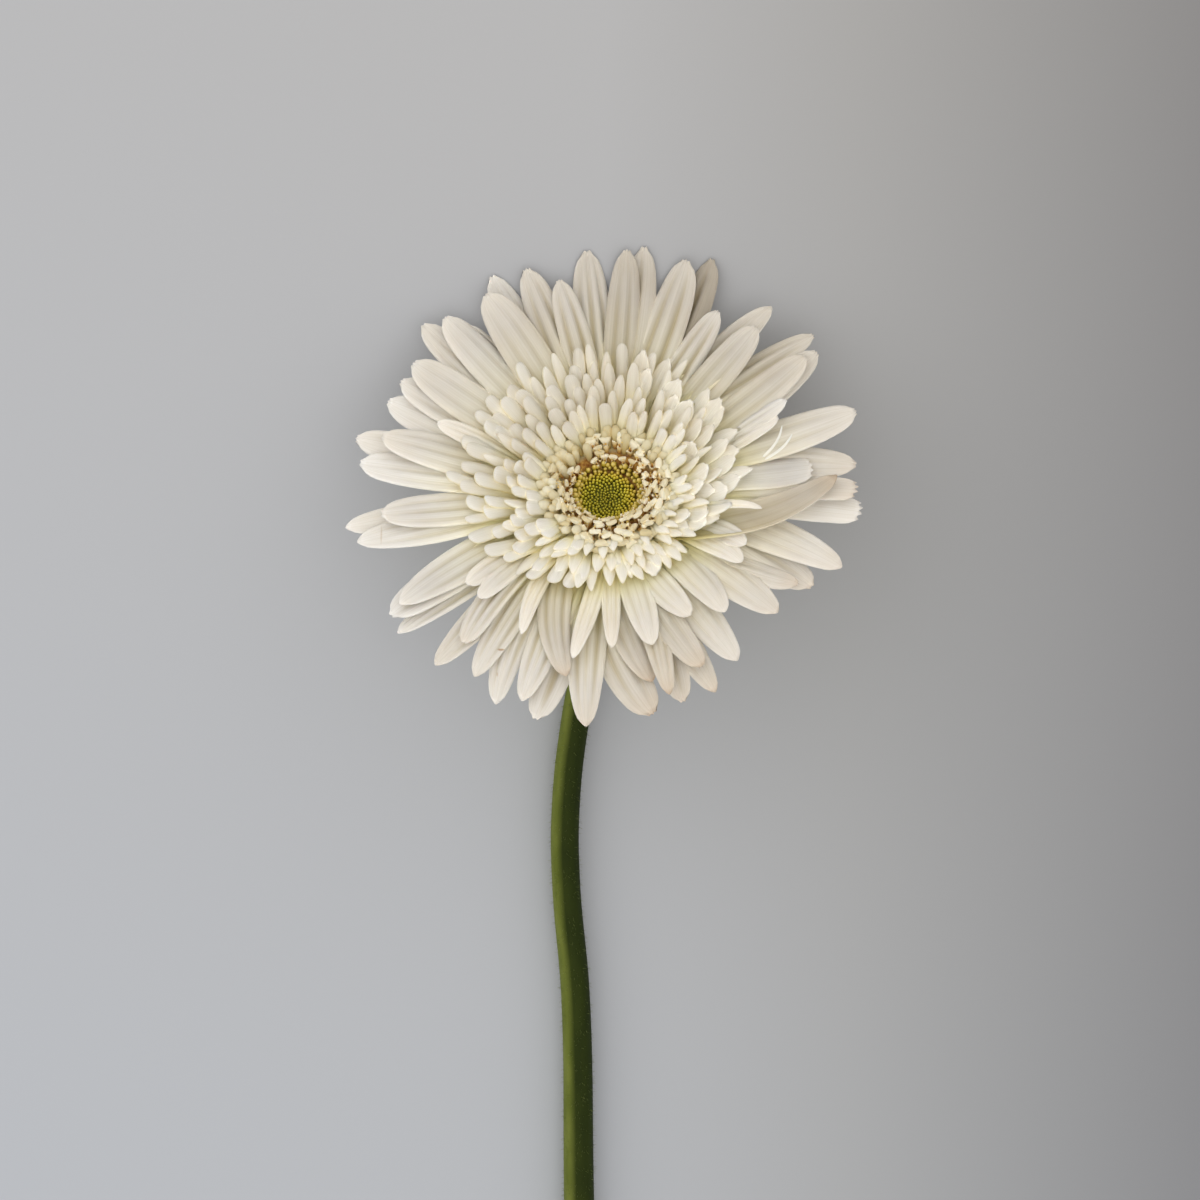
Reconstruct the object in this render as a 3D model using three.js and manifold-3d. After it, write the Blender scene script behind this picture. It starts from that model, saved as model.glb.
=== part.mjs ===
// A white semi-double gerbera, cut and laid down on a table. Millimetres, +Z up.
// The stem lies along -Y and the bloom, at the +Y end, leans on the tips of its upper petals.
// The bloom is built in the frame of its own face and then tilted into place. In that frame the
// origin is the middle of the disc, +z points out of the face and +y is the photograph's top.
import * as THREE from "three";
import { mergeVertices } from "three/addons/utils/BufferGeometryUtils.js";
import Module from "manifold-3d";

const wasm = await Module();
wasm.setup();

// Where the bloom stands: the face leans back from straight up towards +Y and turns a little left.
const FACE_TILT = 40;
const FACE_TURN = 5;
const FACE_MIDDLE = new THREE.Vector3(1.1, 151.8, 31.2);

// The photograph was taken from this far off straight up, towards +Y, and from this distance.
// Its middle lies this far right of and above the disc's middle.
const VIEW_TILT = 10;
const VIEW_DISTANCE = 930;
const VIEW_MIDDLE = [-1.8, -24.9];
const VIEW_STEPS = 12;

// The bodies that the florets grow from, each a profile of radius and height turned round the
// face's axis: under the rays, under the fingers, under the open disc florets, and the green cup.
const CORE_SIDES = 20;
const RAY_CORE = [
  [0, -13.6],
  [10.8, -13.6],
  [10.8, -9.2],
  [9.8, -8.2],
  [0, -8.2],
];
const TRANS_CORE = [
  [0, -7.5],
  [11.2, -7.5],
  [11.2, -3.8],
  [10.7, -3.0],
  [10, -3.0],
  [10, -5.4],
  [0, -5.4],
];
const DISC_CORE = [
  [7.4, -5.1],
  [9.5, -5.1],
  [9.5, -2.7],
  [7.4, -2.3],
  [7.4, -5.1],
];
const CUP_SIDES = 28;
const CUP = [
  [0, -24.1],
  [4.2, -24.1],
  [6.6, -22.6],
  [9.4, -19.4],
  [10.9, -16.4],
  [11.3, -13.9],
  [0, -13.9],
];

// Long ray florets. They lie on stacked shells that rise from the receptacle and flatten outwards.
const BLOOM_RADIUS = 57;
const RAY_ROOT = 9;
const RAY_ROOT_HEIGHT = -12.9;
const RAY_SHELL_RISE = 11.1;
const RAY_SHELL_POWER = 2.2;
const RAY_SHELL_PITCH = 1.5;
const RAY_THICKNESS = 1.25;
// The upper side of the bloom is cupped forward and the lower side droops by this much at the rim.
const BLOOM_LEAN = 7;
// Florets that reach the table bend along it. Their middle line stays this far above it, and
// the bend is eased over about this height.
const TABLE_CLEARANCE = 0.35;
const TABLE_EASE = 2.5;
// Stations from root to tip, with the shares of the full width and of the full thickness.
const RAY_OUTLINE = [
  [0, 0.34, 0.9],
  [0.25, 0.64, 1],
  [0.5, 0.96, 1],
  [0.7, 1, 1],
  [0.86, 0.8, 1],
  [0.96, 0.44, 0.9],
];

// One row for each long ray floret, anticlockwise from the right of the photograph.
// Tip right of and above the disc's middle as seen there, full width, shell from the back (0) to
// the front (2), and how far the root lies anticlockwise of the tip in degrees.
const RAYS = [
  [55.1, 5.1, 8.4, 0, 14],
  [45.3, 4.6, 8.4, 1, 0],
  [50.7, 2.7, 9.5, 2, -38],
  [55.1, 17.1, 10.0, 1, 0],
  [46.4, 30.2, 8.0, 1, -5],
  [43.8, 29.3, 8.6, 2, -5],
  [45.6, 34.0, 7.6, 0, 12],
  [36.2, 40.2, 9.0, 0, 6],
  [32.9, 35.8, 8.2, 2, 0],
  [24.4, 39.3, 7.0, 2, 5],
  [23.1, 50.9, 8.0, 0, 0],
  [17.3, 50.7, 9.8, 1, 2],
  [8.0, 53.6, 8.0, 0, 0],
  [4.2, 52.9, 7.8, 1, 0],
  [-4.7, 52.7, 8.9, 0, 0],
  [-10.9, 46.2, 7.2, 2, -4],
  [-18.2, 48.7, 8.4, 1, -3],
  [-25.8, 47.1, 8.4, 0, -3],
  [-27.1, 43.1, 10.0, 2, -4],
  [-31.8, 36.2, 7.4, 0, -3],
  [-36.2, 38.0, 9.4, 1, -2],
  [-41.1, 36.4, 8.6, 0, 0],
  [-43.3, 27.8, 10.0, 2, 0],
  [-46.0, 23.8, 8.6, 1, 0],
  [-48.9, 19.3, 9.0, 0, 0],
  [-50.2, 11.6, 9.6, 2, 0],
  [-56.0, 11.1, 8.4, 0, 0],
  [-55.1, 5.6, 9.4, 1, 0],
  [-50.4, -5.8, 8.8, 2, 0],
  [-58.2, -8.7, 8.0, 0, -3],
  [-55.6, -12.0, 9.6, 1, -3],
  [-46.2, -25.6, 9.8, 2, -8],
  [-48.2, -28.4, 9.8, 1, -8],
  [-46.7, -32.0, 7.4, 0, -4],
  [-38.4, -39.1, 8.4, 0, -2],
  [-32.2, -34.2, 6.8, 2, -14],
  [-29.6, -41.8, 7.4, 1, -8],
  [-24.9, -47.8, 7.8, 0, -16],
  [-19.1, -47.1, 8.0, 1, -3],
  [-16.2, -51.3, 8.2, 0, 3],
  [-9.3, -41.6, 7.4, 2, -28],
  [-4.9, -52.7, 8.6, 1, -6],
  [10.0, -50.2, 9.8, 0, -22],
  [9.8, -42.7, 8.8, 1, -12],
  [13.6, -45.8, 6.0, 2, 4],
  [16.6, -47.4, 7.0, 0, 3],
  [23.8, -45.1, 7.4, 0, -3],
  [20.9, -39.6, 7.0, 2, -9],
  [28.7, -38.0, 9.0, 1, 0],
  [37.6, -27.6, 10.0, 2, 4],
  [42.2, -21.3, 6.0, 1, -10],
  [45.3, -22.0, 9.6, 0, 12],
  [51.8, -17.6, 9.6, 1, 12],
  [55.3, -0.2, 7.4, 1, 6],
  [56.2, -4.9, 8.0, 0, 4],
];

// Trans florets: staggered rows of short fingers. Each pair gives the value of the outermost row
// and the value of the innermost row.
const TRANS_ROWS = 7;
const TRANS_COUNT = [27, 33];
const TRANS_REACH = [33.5, 18.6];
const TRANS_ROOT = 10.6;
const TRANS_ROOT_HEIGHT = [-7.1, -3.3];
const TRANS_KNEE = [26, 14.4];
const TRANS_KNEE_HEIGHT = [-1.2, -0.4];
const TRANS_TIP_HEIGHT = [2.5, 3.8];
const TRANS_WIDTH = [3.1, 2.7];
const TRANS_THICKNESS = 1.2;
const TRANS_OUTLINE = [
  [0, 0.34, 0.5],
  [0.5, 0.72, 0.6],
  [0.88, 1, 1],
];

// Larger florets between the fingers and the long rays: tip right, tip up, width, sway.
const TRANSITION_ROOT_HEIGHT = -6.9;
const TRANSITION_KNEE_HEIGHT = 0;
const TRANSITION_HEIGHT = 2.2;
const TRANSITION = [
  [37.6, 16.2, 5.2, -3],
  [39.3, 20.2, 5.6, -6],
  [34.0, -3.8, 3.4, 4],
  [30.2, -12.0, 5.6, 8],
  [29.6, -15.8, 6.0, 8],
  [26.0, -26.9, 8.0, 6],
  [18.0, -27.8, 6.7, -8],
  [9.6, -34.2, 7.0, 0],
  [0.9, -35.1, 4.2, 0],
  [-8.0, -37.1, 4.6, 6],
  [-18.9, -31.8, 4.0, -15],
  [-28.7, -24.2, 5.0, -6],
  [-31.3, -21.1, 5.0, -4],
  [-37.8, 15.1, 5.2, 0],
];

// Open disc florets: four rows of short cream stubs, innermost first.
// Root radius, root height, tip radius, tip height, number and size of each row.
const DISC_ROWS = [
  [7.8, -2.7, 7.9, -0.5, 15, 1.0],
  [8.3, -2.8, 9.4, 0.0, 17, 1.3],
  [8.8, -2.9, 10.9, 0.7, 19, 1.5],
  [8.9, -3.3, 12.3, 1.1, 22, 1.7],
];
const DISC_OUTLINE = [
  [0, 0.5, 0.7],
  [0.85, 1, 1],
];
const DISC_THICKNESS = 1;

// Closed disc buds: a dome with a staggered relief, finer towards its middle.
const DOME_RADIUS = 6.9;
const DOME_EDGE_HEIGHT = -1.7;
const DOME_RISE = 1.5;
const DOME_BASE_HEIGHT = -5.1;
const DOME_SIDES = 34;
const DOME_RINGS = 10;
const DOME_RING_RATIO = 0.83;
const BUD_RELIEF = 0.07;

// Involucre: two rows of pointed bracts on a cup, the lower row first.
// Root, knee and tip as radius and height, then the width of a bract.
const BRACT_ROWS = [
  [6.4, -22.4, 11.2, -20.4, 12.9, -15.0, 3.9],
  [9.0, -19.0, 13.0, -16.4, 15.6, -13.3, 3.5],
];
const BRACTS_PER_ROW = 14;
const BRACT_THICKNESS = 1.1;
const BRACT_OUTLINE = [
  [0, 0.7, 1],
  [0.5, 1, 1],
  [0.82, 0.55, 0.9],
];

// Stem: the middle line beyond the neck, from the face's middle, with the height above the table.
const STEM_TOP = -24.4;
const NECK_LENGTH = 1.2;
const STEM_LINE = [
  [1.5, -19.3, 9.2],
  [1.0, -23.6, 6.9],
  [-0.2, -28.6, 5.6],
  [-1.9, -34.6, 5.1],
  [-4.8, -45, 5.0],
  [-7.8, -60, 5.0],
  [-9.8, -80, 5.0],
  [-9.7, -96, 5.0],
  [-7.5, -124, 4.9],
  [-6.8, -168, 4.8],
  [-6.2, -230, 4.6],
  [-4.6, -290, 4.4],
  [-2.4, -352, 4.2],
];
const STEM_RADII = [4.1, 3.3, 3.3, 3.45, 3.65, 3.85, 4.0, 4.1, 4.2];
const STEM_SIDES = 12;
// The rings stand closer together round the bend of the neck, by this power.
const STEM_RINGS = 30;
const STEM_RING_POWER = 1.9;
const CUT_SLANT = 30;

// A blade is flat below and arched above: its right edge, its back and its left edge.
const ARCHED_SECTION = [
  [0.5, -0.5],
  [0, 0.5],
  [-0.5, -0.5],
];

// Corners closer together than this are one corner.
const SAME_CORNER = 1e-4;

const AXIS_UP = new THREE.Vector3(0, 0, 1);
const rad = THREE.MathUtils.degToRad;
const mix = THREE.MathUtils.lerp;

// The same draws on every run.
let state = 2063;
function draw(low, high) {
  state = (state * 48271) % 2147483647;
  return low + ((high - low) * state) / 2147483647;
}

// A point of the face's frame given as clock angle in radians, radius and height.
function polar(clock, radius, height) {
  return new THREE.Vector3(radius * Math.cos(clock), radius * Math.sin(clock), height);
}

// Joins rings of points into a closed skin. The last ring ends in a point if a tip is given.
// A bumpy skin has its facets split so that every second point is a peak of its own.
function skin(rings, tip, bumpy = false) {
  const sides = rings[0].length;
  const points = rings.flat();
  const faces = [];
  for (let j = 1; j < sides - 1; j++) {
    faces.push(0, j + 1, j);
  }
  for (let i = 0; i < rings.length - 1; i++) {
    for (let j = 0; j < sides; j++) {
      const a = i * sides + j;
      const b = i * sides + ((j + 1) % sides);
      if (bumpy && (i + j) % 2) {
        faces.push(a, b, a + sides, b, b + sides, a + sides);
      } else {
        faces.push(a, b, b + sides, a, b + sides, a + sides);
      }
    }
  }
  const last = (rings.length - 1) * sides;
  if (tip) {
    points.push(tip);
    for (let j = 0; j < sides; j++) {
      faces.push(last + j, last + ((j + 1) % sides), points.length - 1);
    }
  } else {
    for (let j = 1; j < sides - 1; j++) {
      faces.push(last, last + j, last + j + 1);
    }
  }
  return new THREE.BufferGeometry().setFromPoints(points).setIndex(faces);
}

// A blade along a line, ending in a point. The line is a function of 0 to 1. It heads the way
// that it goes from just before a station to just after it.
function blade(line, outline, width, thickness) {
  const step = 0.02;
  const rings = outline.map(([at, wide, thick]) => {
    const middle = line(at);
    const along = line(at + step).sub(line(at - step)).normalize();
    const across = new THREE.Vector3().crossVectors(AXIS_UP, along).normalize();
    const up = new THREE.Vector3().crossVectors(along, across);
    return ARCHED_SECTION.map(([sideways, rise]) =>
      middle
        .clone()
        .addScaledVector(across, sideways * width * wide)
        .addScaledVector(up, rise * thickness * thick),
    );
  });
  return skin(rings, line(1));
}

// A curve from root to tip, drawn towards the knee. Root, knee and tip are pairs of radius and
// height. The tip lies at the clock angle and the root is turned from it by the sway.
function arc(clock, sway, root, knee, tip) {
  return (at) => {
    const rest = 1 - at;
    const [radius, height] = [0, 1].map(
      (k) => rest * rest * root[k] + 2 * rest * at * knee[k] + at * at * tip[k],
    );
    return polar(clock + sway * rest, radius, height);
  };
}

function solid(geometry) {
  const bare = geometry.clone();
  bare.deleteAttribute("normal");
  bare.deleteAttribute("uv");
  const merged = mergeVertices(bare, SAME_CORNER);
  return new wasm.Manifold(
    new wasm.Mesh({
      numProp: 3,
      vertProperties: merged.attributes.position.array,
      triVerts: new Uint32Array(merged.index.array),
    }),
  );
}

// Every piece fused to the core, as one body. Only its outer skin is kept, so a pocket sealed
// between blades that cross is filled.
function fused(core, pieces) {
  let body = solid(core);
  for (const piece of pieces) {
    body = body.add(solid(piece));
  }
  const skins = body.decompose().sort((a, b) => b.volume() - a.volume());
  const mesh = skins[0].getMesh();
  return new THREE.BufferGeometry()
    .setAttribute("position", new THREE.BufferAttribute(mesh.vertProperties, 3))
    .setIndex(new THREE.BufferAttribute(mesh.triVerts, 1));
}

// A solid of revolution about +z from a profile of radius and height.
function turned(profile, sides) {
  const points = profile.map(([radius, height]) => new THREE.Vector2(radius, height));
  return new THREE.LatheGeometry(points, sides).rotateX(Math.PI / 2);
}

// How far the lean of the bloom lifts a point at this clock angle and radius.
function lean(clock, radius) {
  return (BLOOM_LEAN * (radius - RAY_ROOT) * Math.sin(clock)) / (BLOOM_RADIUS - RAY_ROOT);
}

function rayHeight(shell, clock, radius) {
  const left = Math.max(0, 1 - (radius - RAY_ROOT) / (BLOOM_RADIUS - RAY_ROOT));
  const rise = RAY_SHELL_RISE * (1 - left ** RAY_SHELL_POWER);
  const free = RAY_ROOT_HEIGHT + rise + lean(clock, radius);
  const drop = radius * Math.sin(clock) * Math.sin(rad(FACE_TILT));
  const table = (TABLE_CLEARANCE + drop - FACE_MIDDLE.z) / Math.cos(rad(FACE_TILT));
  const height = (free + table + Math.hypot(free - table, TABLE_EASE)) / 2;
  return height + shell * RAY_SHELL_PITCH;
}

const face = new THREE.Group();
face.rotation.set(-rad(FACE_TILT), 0, rad(FACE_TURN), "ZXY");
face.position.copy(FACE_MIDDLE);
face.updateMatrixWorld(true);

// The camera's own axes, in the frame of the face.
const toFace = face.quaternion.clone().invert();
const viewTurn = new THREE.Quaternion().setFromEuler(new THREE.Euler(-rad(VIEW_TILT), 0, 0));
const [viewRight, viewUp, viewBack] = [0, 1, 2].map((k) =>
  new THREE.Vector3().setComponent(k, 1).applyQuaternion(viewTurn).applyQuaternion(toFace),
);

// The clock angle and radius of the floret tip that is seen at a point of the photograph, when
// the tip's height follows from its own place on the face.
function tipSeenAt(right, up, heightAt) {
  const determinant = viewRight.x * viewUp.y - viewRight.y * viewUp.x;
  const tip = new THREE.Vector3();
  for (let i = 0; i < VIEW_STEPS; i++) {
    tip.z = heightAt(Math.atan2(tip.y, tip.x), Math.hypot(tip.x, tip.y));
    // What is nearer to the camera than the disc's middle looks larger.
    const nearness = tip.dot(viewBack) / VIEW_DISTANCE;
    const sideways = right - (right - VIEW_MIDDLE[0]) * nearness - tip.z * viewRight.z;
    const upwards = up - (up - VIEW_MIDDLE[1]) * nearness - tip.z * viewUp.z;
    tip.x = (sideways * viewUp.y - upwards * viewRight.y) / determinant;
    tip.y = (upwards * viewRight.x - sideways * viewUp.x) / determinant;
  }
  return { clock: Math.atan2(tip.y, tip.x), radius: Math.hypot(tip.x, tip.y) };
}

function rayFlorets() {
  const pieces = RAYS.map(([right, up, width, shell, sway]) => {
    const tip = tipSeenAt(right, up, (clock, radius) => rayHeight(shell, clock, radius));
    const line = (at) => {
      const radius = mix(RAY_ROOT, tip.radius, at);
      const clock = tip.clock + rad(sway) * (1 - at);
      return polar(clock, radius, rayHeight(shell, clock, radius));
    };
    return blade(line, RAY_OUTLINE, width, RAY_THICKNESS);
  });
  return fused(turned(RAY_CORE, CORE_SIDES), pieces);
}

function transFlorets() {
  const pieces = TRANSITION.map(([right, up, width, sway]) => {
    const height = (clock, radius) => TRANSITION_HEIGHT + lean(clock, radius);
    const tip = tipSeenAt(right, up, height);
    const root = [TRANS_ROOT, TRANSITION_ROOT_HEIGHT];
    const knee = [TRANS_KNEE[0], TRANSITION_KNEE_HEIGHT + lean(tip.clock, TRANS_KNEE[0])];
    const end = [tip.radius, height(tip.clock, tip.radius)];
    return blade(arc(tip.clock, rad(sway), root, knee, end), RAY_OUTLINE, width, TRANS_THICKNESS);
  });
  for (let row = 0; row < TRANS_ROWS; row++) {
    const share = row / (TRANS_ROWS - 1);
    const count = Math.round(mix(...TRANS_COUNT, share));
    for (let i = 0; i < count; i++) {
      const clock = ((i + (row % 2) / 2 + draw(-0.22, 0.22)) * 2 * Math.PI) / count;
      const reach = mix(...TRANS_REACH, share) + draw(-1.1, 1.1);
      const height = mix(...TRANS_TIP_HEIGHT, share) + draw(-0.3, 0.5) + lean(clock, reach);
      const kneeRadius = mix(...TRANS_KNEE, share);
      const kneeHeight = mix(...TRANS_KNEE_HEIGHT, share) + lean(clock, kneeRadius);
      const width = mix(...TRANS_WIDTH, share) * draw(0.85, 1.2);
      const root = [TRANS_ROOT, mix(...TRANS_ROOT_HEIGHT, share)];
      const sway = rad(draw(-3, 3));
      const line = arc(clock, sway, root, [kneeRadius, kneeHeight], [reach, height]);
      pieces.push(blade(line, TRANS_OUTLINE, width, TRANS_THICKNESS));
    }
  }
  return fused(turned(TRANS_CORE, CORE_SIDES), pieces);
}

function discFlorets() {
  const pieces = [];
  for (const [rootRadius, rootHeight, tipRadius, tipHeight, count, size] of DISC_ROWS) {
    for (let i = 0; i < count; i++) {
      const clock = ((i + draw(-0.2, 0.2)) * 2 * Math.PI) / count;
      const root = polar(clock, rootRadius, rootHeight);
      const tip = polar(clock + rad(draw(-4, 4)), tipRadius, tipHeight);
      const length = draw(0.9, 1.08);
      const line = (at) => root.clone().lerp(tip, at * length);
      pieces.push(blade(line, DISC_OUTLINE, size * draw(0.85, 1.1), DISC_THICKNESS));
    }
  }
  return fused(turned(DISC_CORE, CORE_SIDES), pieces);
}

// The dome's skin: bud tops and the hollows between them take turns round each ring.
function discCentre() {
  const ringAt = (radius, height) =>
    Array.from({ length: DOME_SIDES }, (_, j) =>
      polar((j * 2 * Math.PI) / DOME_SIDES, radius, height(j)),
    );
  const rings = [ringAt(DOME_RADIUS, () => DOME_BASE_HEIGHT)];
  for (let i = 0; i < DOME_RINGS; i++) {
    const radius = DOME_RADIUS * DOME_RING_RATIO ** i;
    const dome = DOME_EDGE_HEIGHT + DOME_RISE * (1 - (radius / DOME_RADIUS) ** 2);
    const relief = BUD_RELIEF * radius;
    rings.push(ringAt(radius, (j) => dome + ((i + j) % 2 ? -relief : relief)));
  }
  return skin(rings, new THREE.Vector3(0, 0, DOME_EDGE_HEIGHT + DOME_RISE), true);
}

function involucre() {
  const pieces = [];
  BRACT_ROWS.forEach(([rootR, rootZ, kneeR, kneeZ, tipR, tipZ, width], row) => {
    for (let i = 0; i < BRACTS_PER_ROW; i++) {
      const clock = ((i + row / 2 + draw(-0.08, 0.08)) * 2 * Math.PI) / BRACTS_PER_ROW;
      const reach = tipR + draw(-0.5, 0.2);
      const line = arc(clock, 0, [rootR, rootZ], [kneeR, kneeZ], [reach, tipZ]);
      pieces.push(blade(line, BRACT_OUTLINE, width, BRACT_THICKNESS));
    }
  });
  return fused(turned(CUP, CUP_SIDES), pieces);
}

function stem() {
  const inFace = (height) => new THREE.Vector3(0, 0, height).applyMatrix4(face.matrixWorld);
  const line = STEM_LINE.map(
    ([right, along, height]) =>
      new THREE.Vector3(FACE_MIDDLE.x + right, FACE_MIDDLE.y + along, height),
  );
  const points = [inFace(STEM_TOP), inFace(STEM_TOP - NECK_LENGTH), ...line];
  const curve = new THREE.CatmullRomCurve3(points, false, "centripetal");
  const rings = [];
  for (let i = 0; i <= STEM_RINGS; i++) {
    const at = (i / STEM_RINGS) ** STEM_RING_POWER;
    const middle = curve.getPointAt(at);
    const along = curve.getTangentAt(at);
    const side = new THREE.Vector3(1, 0, 0).addScaledVector(along, -along.x).normalize();
    const up = new THREE.Vector3().crossVectors(along, side);
    const place = at * (STEM_RADII.length - 1);
    const index = Math.min(Math.floor(place), STEM_RADII.length - 2);
    const radius = mix(STEM_RADII[index], STEM_RADII[index + 1], place - index);
    const slant = i === STEM_RINGS ? Math.tan(rad(CUT_SLANT)) : 0;
    rings.push(
      Array.from({ length: STEM_SIDES }, (_, j) => {
        const angle = (2 * Math.PI * j) / STEM_SIDES;
        const rise = radius * Math.sin(angle);
        return middle
          .clone()
          .addScaledVector(side, radius * Math.cos(angle))
          .addScaledVector(up, rise)
          .addScaledVector(along, rise * slant);
      }),
    );
  }
  return skin(rings);
}

function mesh(name, geometry, color, roughness) {
  const material = new THREE.MeshStandardMaterial({ color, roughness, metalness: 0 });
  const made = new THREE.Mesh(geometry, material);
  made.name = name;
  return made;
}

face.add(mesh("ray_florets", rayFlorets(), 0xf3eee4, 0.6));
face.add(mesh("trans_florets", transFlorets(), 0xf1ead6, 0.6));
face.add(mesh("disc_florets", discFlorets(), 0xd8c48c, 0.7));
face.add(mesh("disc_centre", discCentre(), 0x7f7a1e, 0.8));
face.add(mesh("involucre", involucre(), 0x6f8a3c, 0.7));

const group = new THREE.Group();
group.name = "gerbera";
group.add(face);
group.add(mesh("stem", stem(), 0x5f7a2a, 0.6));

export default group;
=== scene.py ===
# %% [markdown]
# # A white gerbera, cut and laid down
# The solid model gives every part its place: a long stem that lies along -Y, a green cup, and a
# bloom at the +Y end that leans back on its upper petals. This lesson dresses that frame. Each
# ring of florets is replaced by finer ones that follow the same rules of growth, so that they
# stand where the solids are or close to them.

# %% Load the frame
import math
import random
from collections import namedtuple

import bmesh
import bpy
import numpy as np
from mathutils import Matrix, Vector


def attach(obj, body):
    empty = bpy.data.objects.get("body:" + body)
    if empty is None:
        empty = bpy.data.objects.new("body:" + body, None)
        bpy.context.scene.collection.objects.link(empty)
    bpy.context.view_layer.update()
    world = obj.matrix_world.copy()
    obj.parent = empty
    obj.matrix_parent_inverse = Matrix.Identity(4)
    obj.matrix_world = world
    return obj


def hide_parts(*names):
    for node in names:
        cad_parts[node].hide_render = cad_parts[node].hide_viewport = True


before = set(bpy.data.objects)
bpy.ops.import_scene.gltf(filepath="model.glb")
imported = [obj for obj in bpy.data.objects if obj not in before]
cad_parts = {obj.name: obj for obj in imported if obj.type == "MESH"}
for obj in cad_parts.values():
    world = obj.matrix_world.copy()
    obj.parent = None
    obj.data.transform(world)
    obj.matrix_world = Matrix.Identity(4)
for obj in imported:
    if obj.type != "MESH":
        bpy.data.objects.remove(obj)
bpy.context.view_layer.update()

# %% [markdown]
# ## The camera comes first
# A lens of about 125 mm from almost a metre away keeps the bloom free of distortion. It looks
# down on the table, ten degrees off the vertical, because the flower was photographed upright
# and lies here. The place of the disc's middle ties the picture to the model.

# %% Camera
MM = 0.001
FACE_MIDDLE = Vector((1.1, 151.8, 31.2))
VIEW_TILT = math.radians(10)
VIEW_DISTANCE = 930.0
VIEW_MIDDLE = (-1.8, -24.9)
PICTURE_PIXELS = 1200
PIXELS_PER_MM = 4.5
SENSOR_MM = 36.0

camera = bpy.data.objects.new("camera", bpy.data.cameras.new("camera"))
bpy.context.scene.collection.objects.link(camera)
bpy.context.scene.camera = camera
camera.data.sensor_width = SENSOR_MM
camera.data.lens = VIEW_DISTANCE * SENSOR_MM / (PICTURE_PIXELS / PIXELS_PER_MM)
view_up = Vector((0, math.cos(VIEW_TILT), -math.sin(VIEW_TILT)))
view_back = Vector((0, math.sin(VIEW_TILT), math.cos(VIEW_TILT)))
aim = FACE_MIDDLE + Vector((VIEW_MIDDLE[0], 0, 0)) + view_up * VIEW_MIDDLE[1]
camera.location = (aim + view_back * VIEW_DISTANCE) * MM
camera.rotation_euler = (-VIEW_TILT, 0, 0)
print("lens:", round(camera.data.lens, 1), "mm")

# %% [markdown]
# ## A few bench tools
# Blender's operators act on whatever is selected, so each piece starts from a clean selection,
# and faces or points are picked by their place. A pattern is drawn in millimetres, one unit to
# the millimetre, because tiny sizes upset some operators. It is brought to metres when copied.

# %% Bench tools
def clear_selection():
    for thing in list(bpy.context.selected_objects):
        thing.select_set(False)
    bpy.context.view_layer.objects.active = None


def edit(on):
    bpy.ops.object.mode_set(mode="EDIT" if on else "OBJECT")


def pick(test):
    """Selects, in edit mode, the points whose place passes the test."""
    bpy.ops.mesh.select_all(action="DESELECT")
    body = bmesh.from_edit_mesh(bpy.context.object.data)
    for point in body.verts:
        point.select = bool(test(point.co))
    body.select_flush_mode()
    bmesh.update_edit_mesh(bpy.context.object.data)


def near(a, b):
    return abs(a - b) < 1e-4


def finish_with(kind, **settings):
    """Adds a modifier to the active piece and applies it."""
    modifier = bpy.context.object.modifiers.new(kind.lower(), kind)
    for key, value in settings.items():
        setattr(modifier, key, value)
    bpy.ops.object.modifier_apply(modifier=modifier.name)


def smooth_between(stations, at):
    """A smooth curve through pairs of (place, value), read at a number or an array."""
    places, values = np.array(stations, float).T
    slopes = np.gradient(values, places)
    k = np.clip(np.searchsorted(places, at, side="right") - 1, 0, len(places) - 2)
    span = places[k + 1] - places[k]
    t = np.clip((at - places[k]) / span, 0, 1)
    start = values[k] * (1 + 2 * t) * (1 - t) ** 2 + slopes[k] * span * t * (1 - t) ** 2
    end = values[k + 1] * t * t * (3 - 2 * t) - slopes[k + 1] * span * t * t * (1 - t)
    return start + end


def clamped(value, low=0.0, high=1.0):
    return min(high, max(low, value))


# %% [markdown]
# ## From one pattern to many florets
# A gerbera head has hundreds of florets. Each kind is modelled once. The finished pattern is
# read as arrays, every copy is bent along its own line, and the copies of one ring are written
# into one mesh. Each copy also carries its tone, a share from 0 to 1 that on some sides of the bloom also
# holds painted light and shade, and each point its relief, which is 1 on the ridges and less in the
# furrows, from which the materials paint shade into the furrows.

# %% Patterns and copies
FURROW_SCALE = 1.3


def read(sequence, key, width, kind=float):
    """One property of every point, corner or face as an array."""
    values = np.empty(len(sequence) * width, kind)
    sequence.foreach_get(key, values)
    return values.reshape(-1, width) if width > 1 else values


class Pattern:
    """A modelled piece as arrays: points, faces and the map that its veins follow."""

    def __init__(self, thing, width=1.0, length=1.0, crest=0.0):
        self.width, self.length = width, length
        self.points = read(thing.data.vertices, "co", 3)
        self.corners = read(thing.data.loops, "vertex_index", 1, int)
        self.sizes = read(thing.data.polygons, "loop_total", 1, int)
        self.map = read(thing.data.uv_layers.active.data, "uv", 2)
        self.relief = np.clip(1 + (self.points[:, 2] - crest) / FURROW_SCALE, 0, 1)
        print("pattern", thing.name, "has", len(self.sizes), "faces")
        bpy.data.objects.remove(thing)


def mapped(thing, width, low, high, axis=2):
    """The piece with a flat map: u runs across its width, and v from low to high on an axis."""
    layer = thing.data.uv_layers.active or thing.data.uv_layers.new(name="lie")
    for loop in thing.data.loops:
        place = thing.data.vertices[loop.vertex_index].co
        layer.data[loop.index].uv = (place.x / width + 0.5, (place[axis] - low) / (high - low))
    return thing


# A copy has its points in metres, its tone and the share of the pattern's relief that it keeps.
Copy = namedtuple("Copy", "pattern points tone relief", defaults=[1.0])


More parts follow.
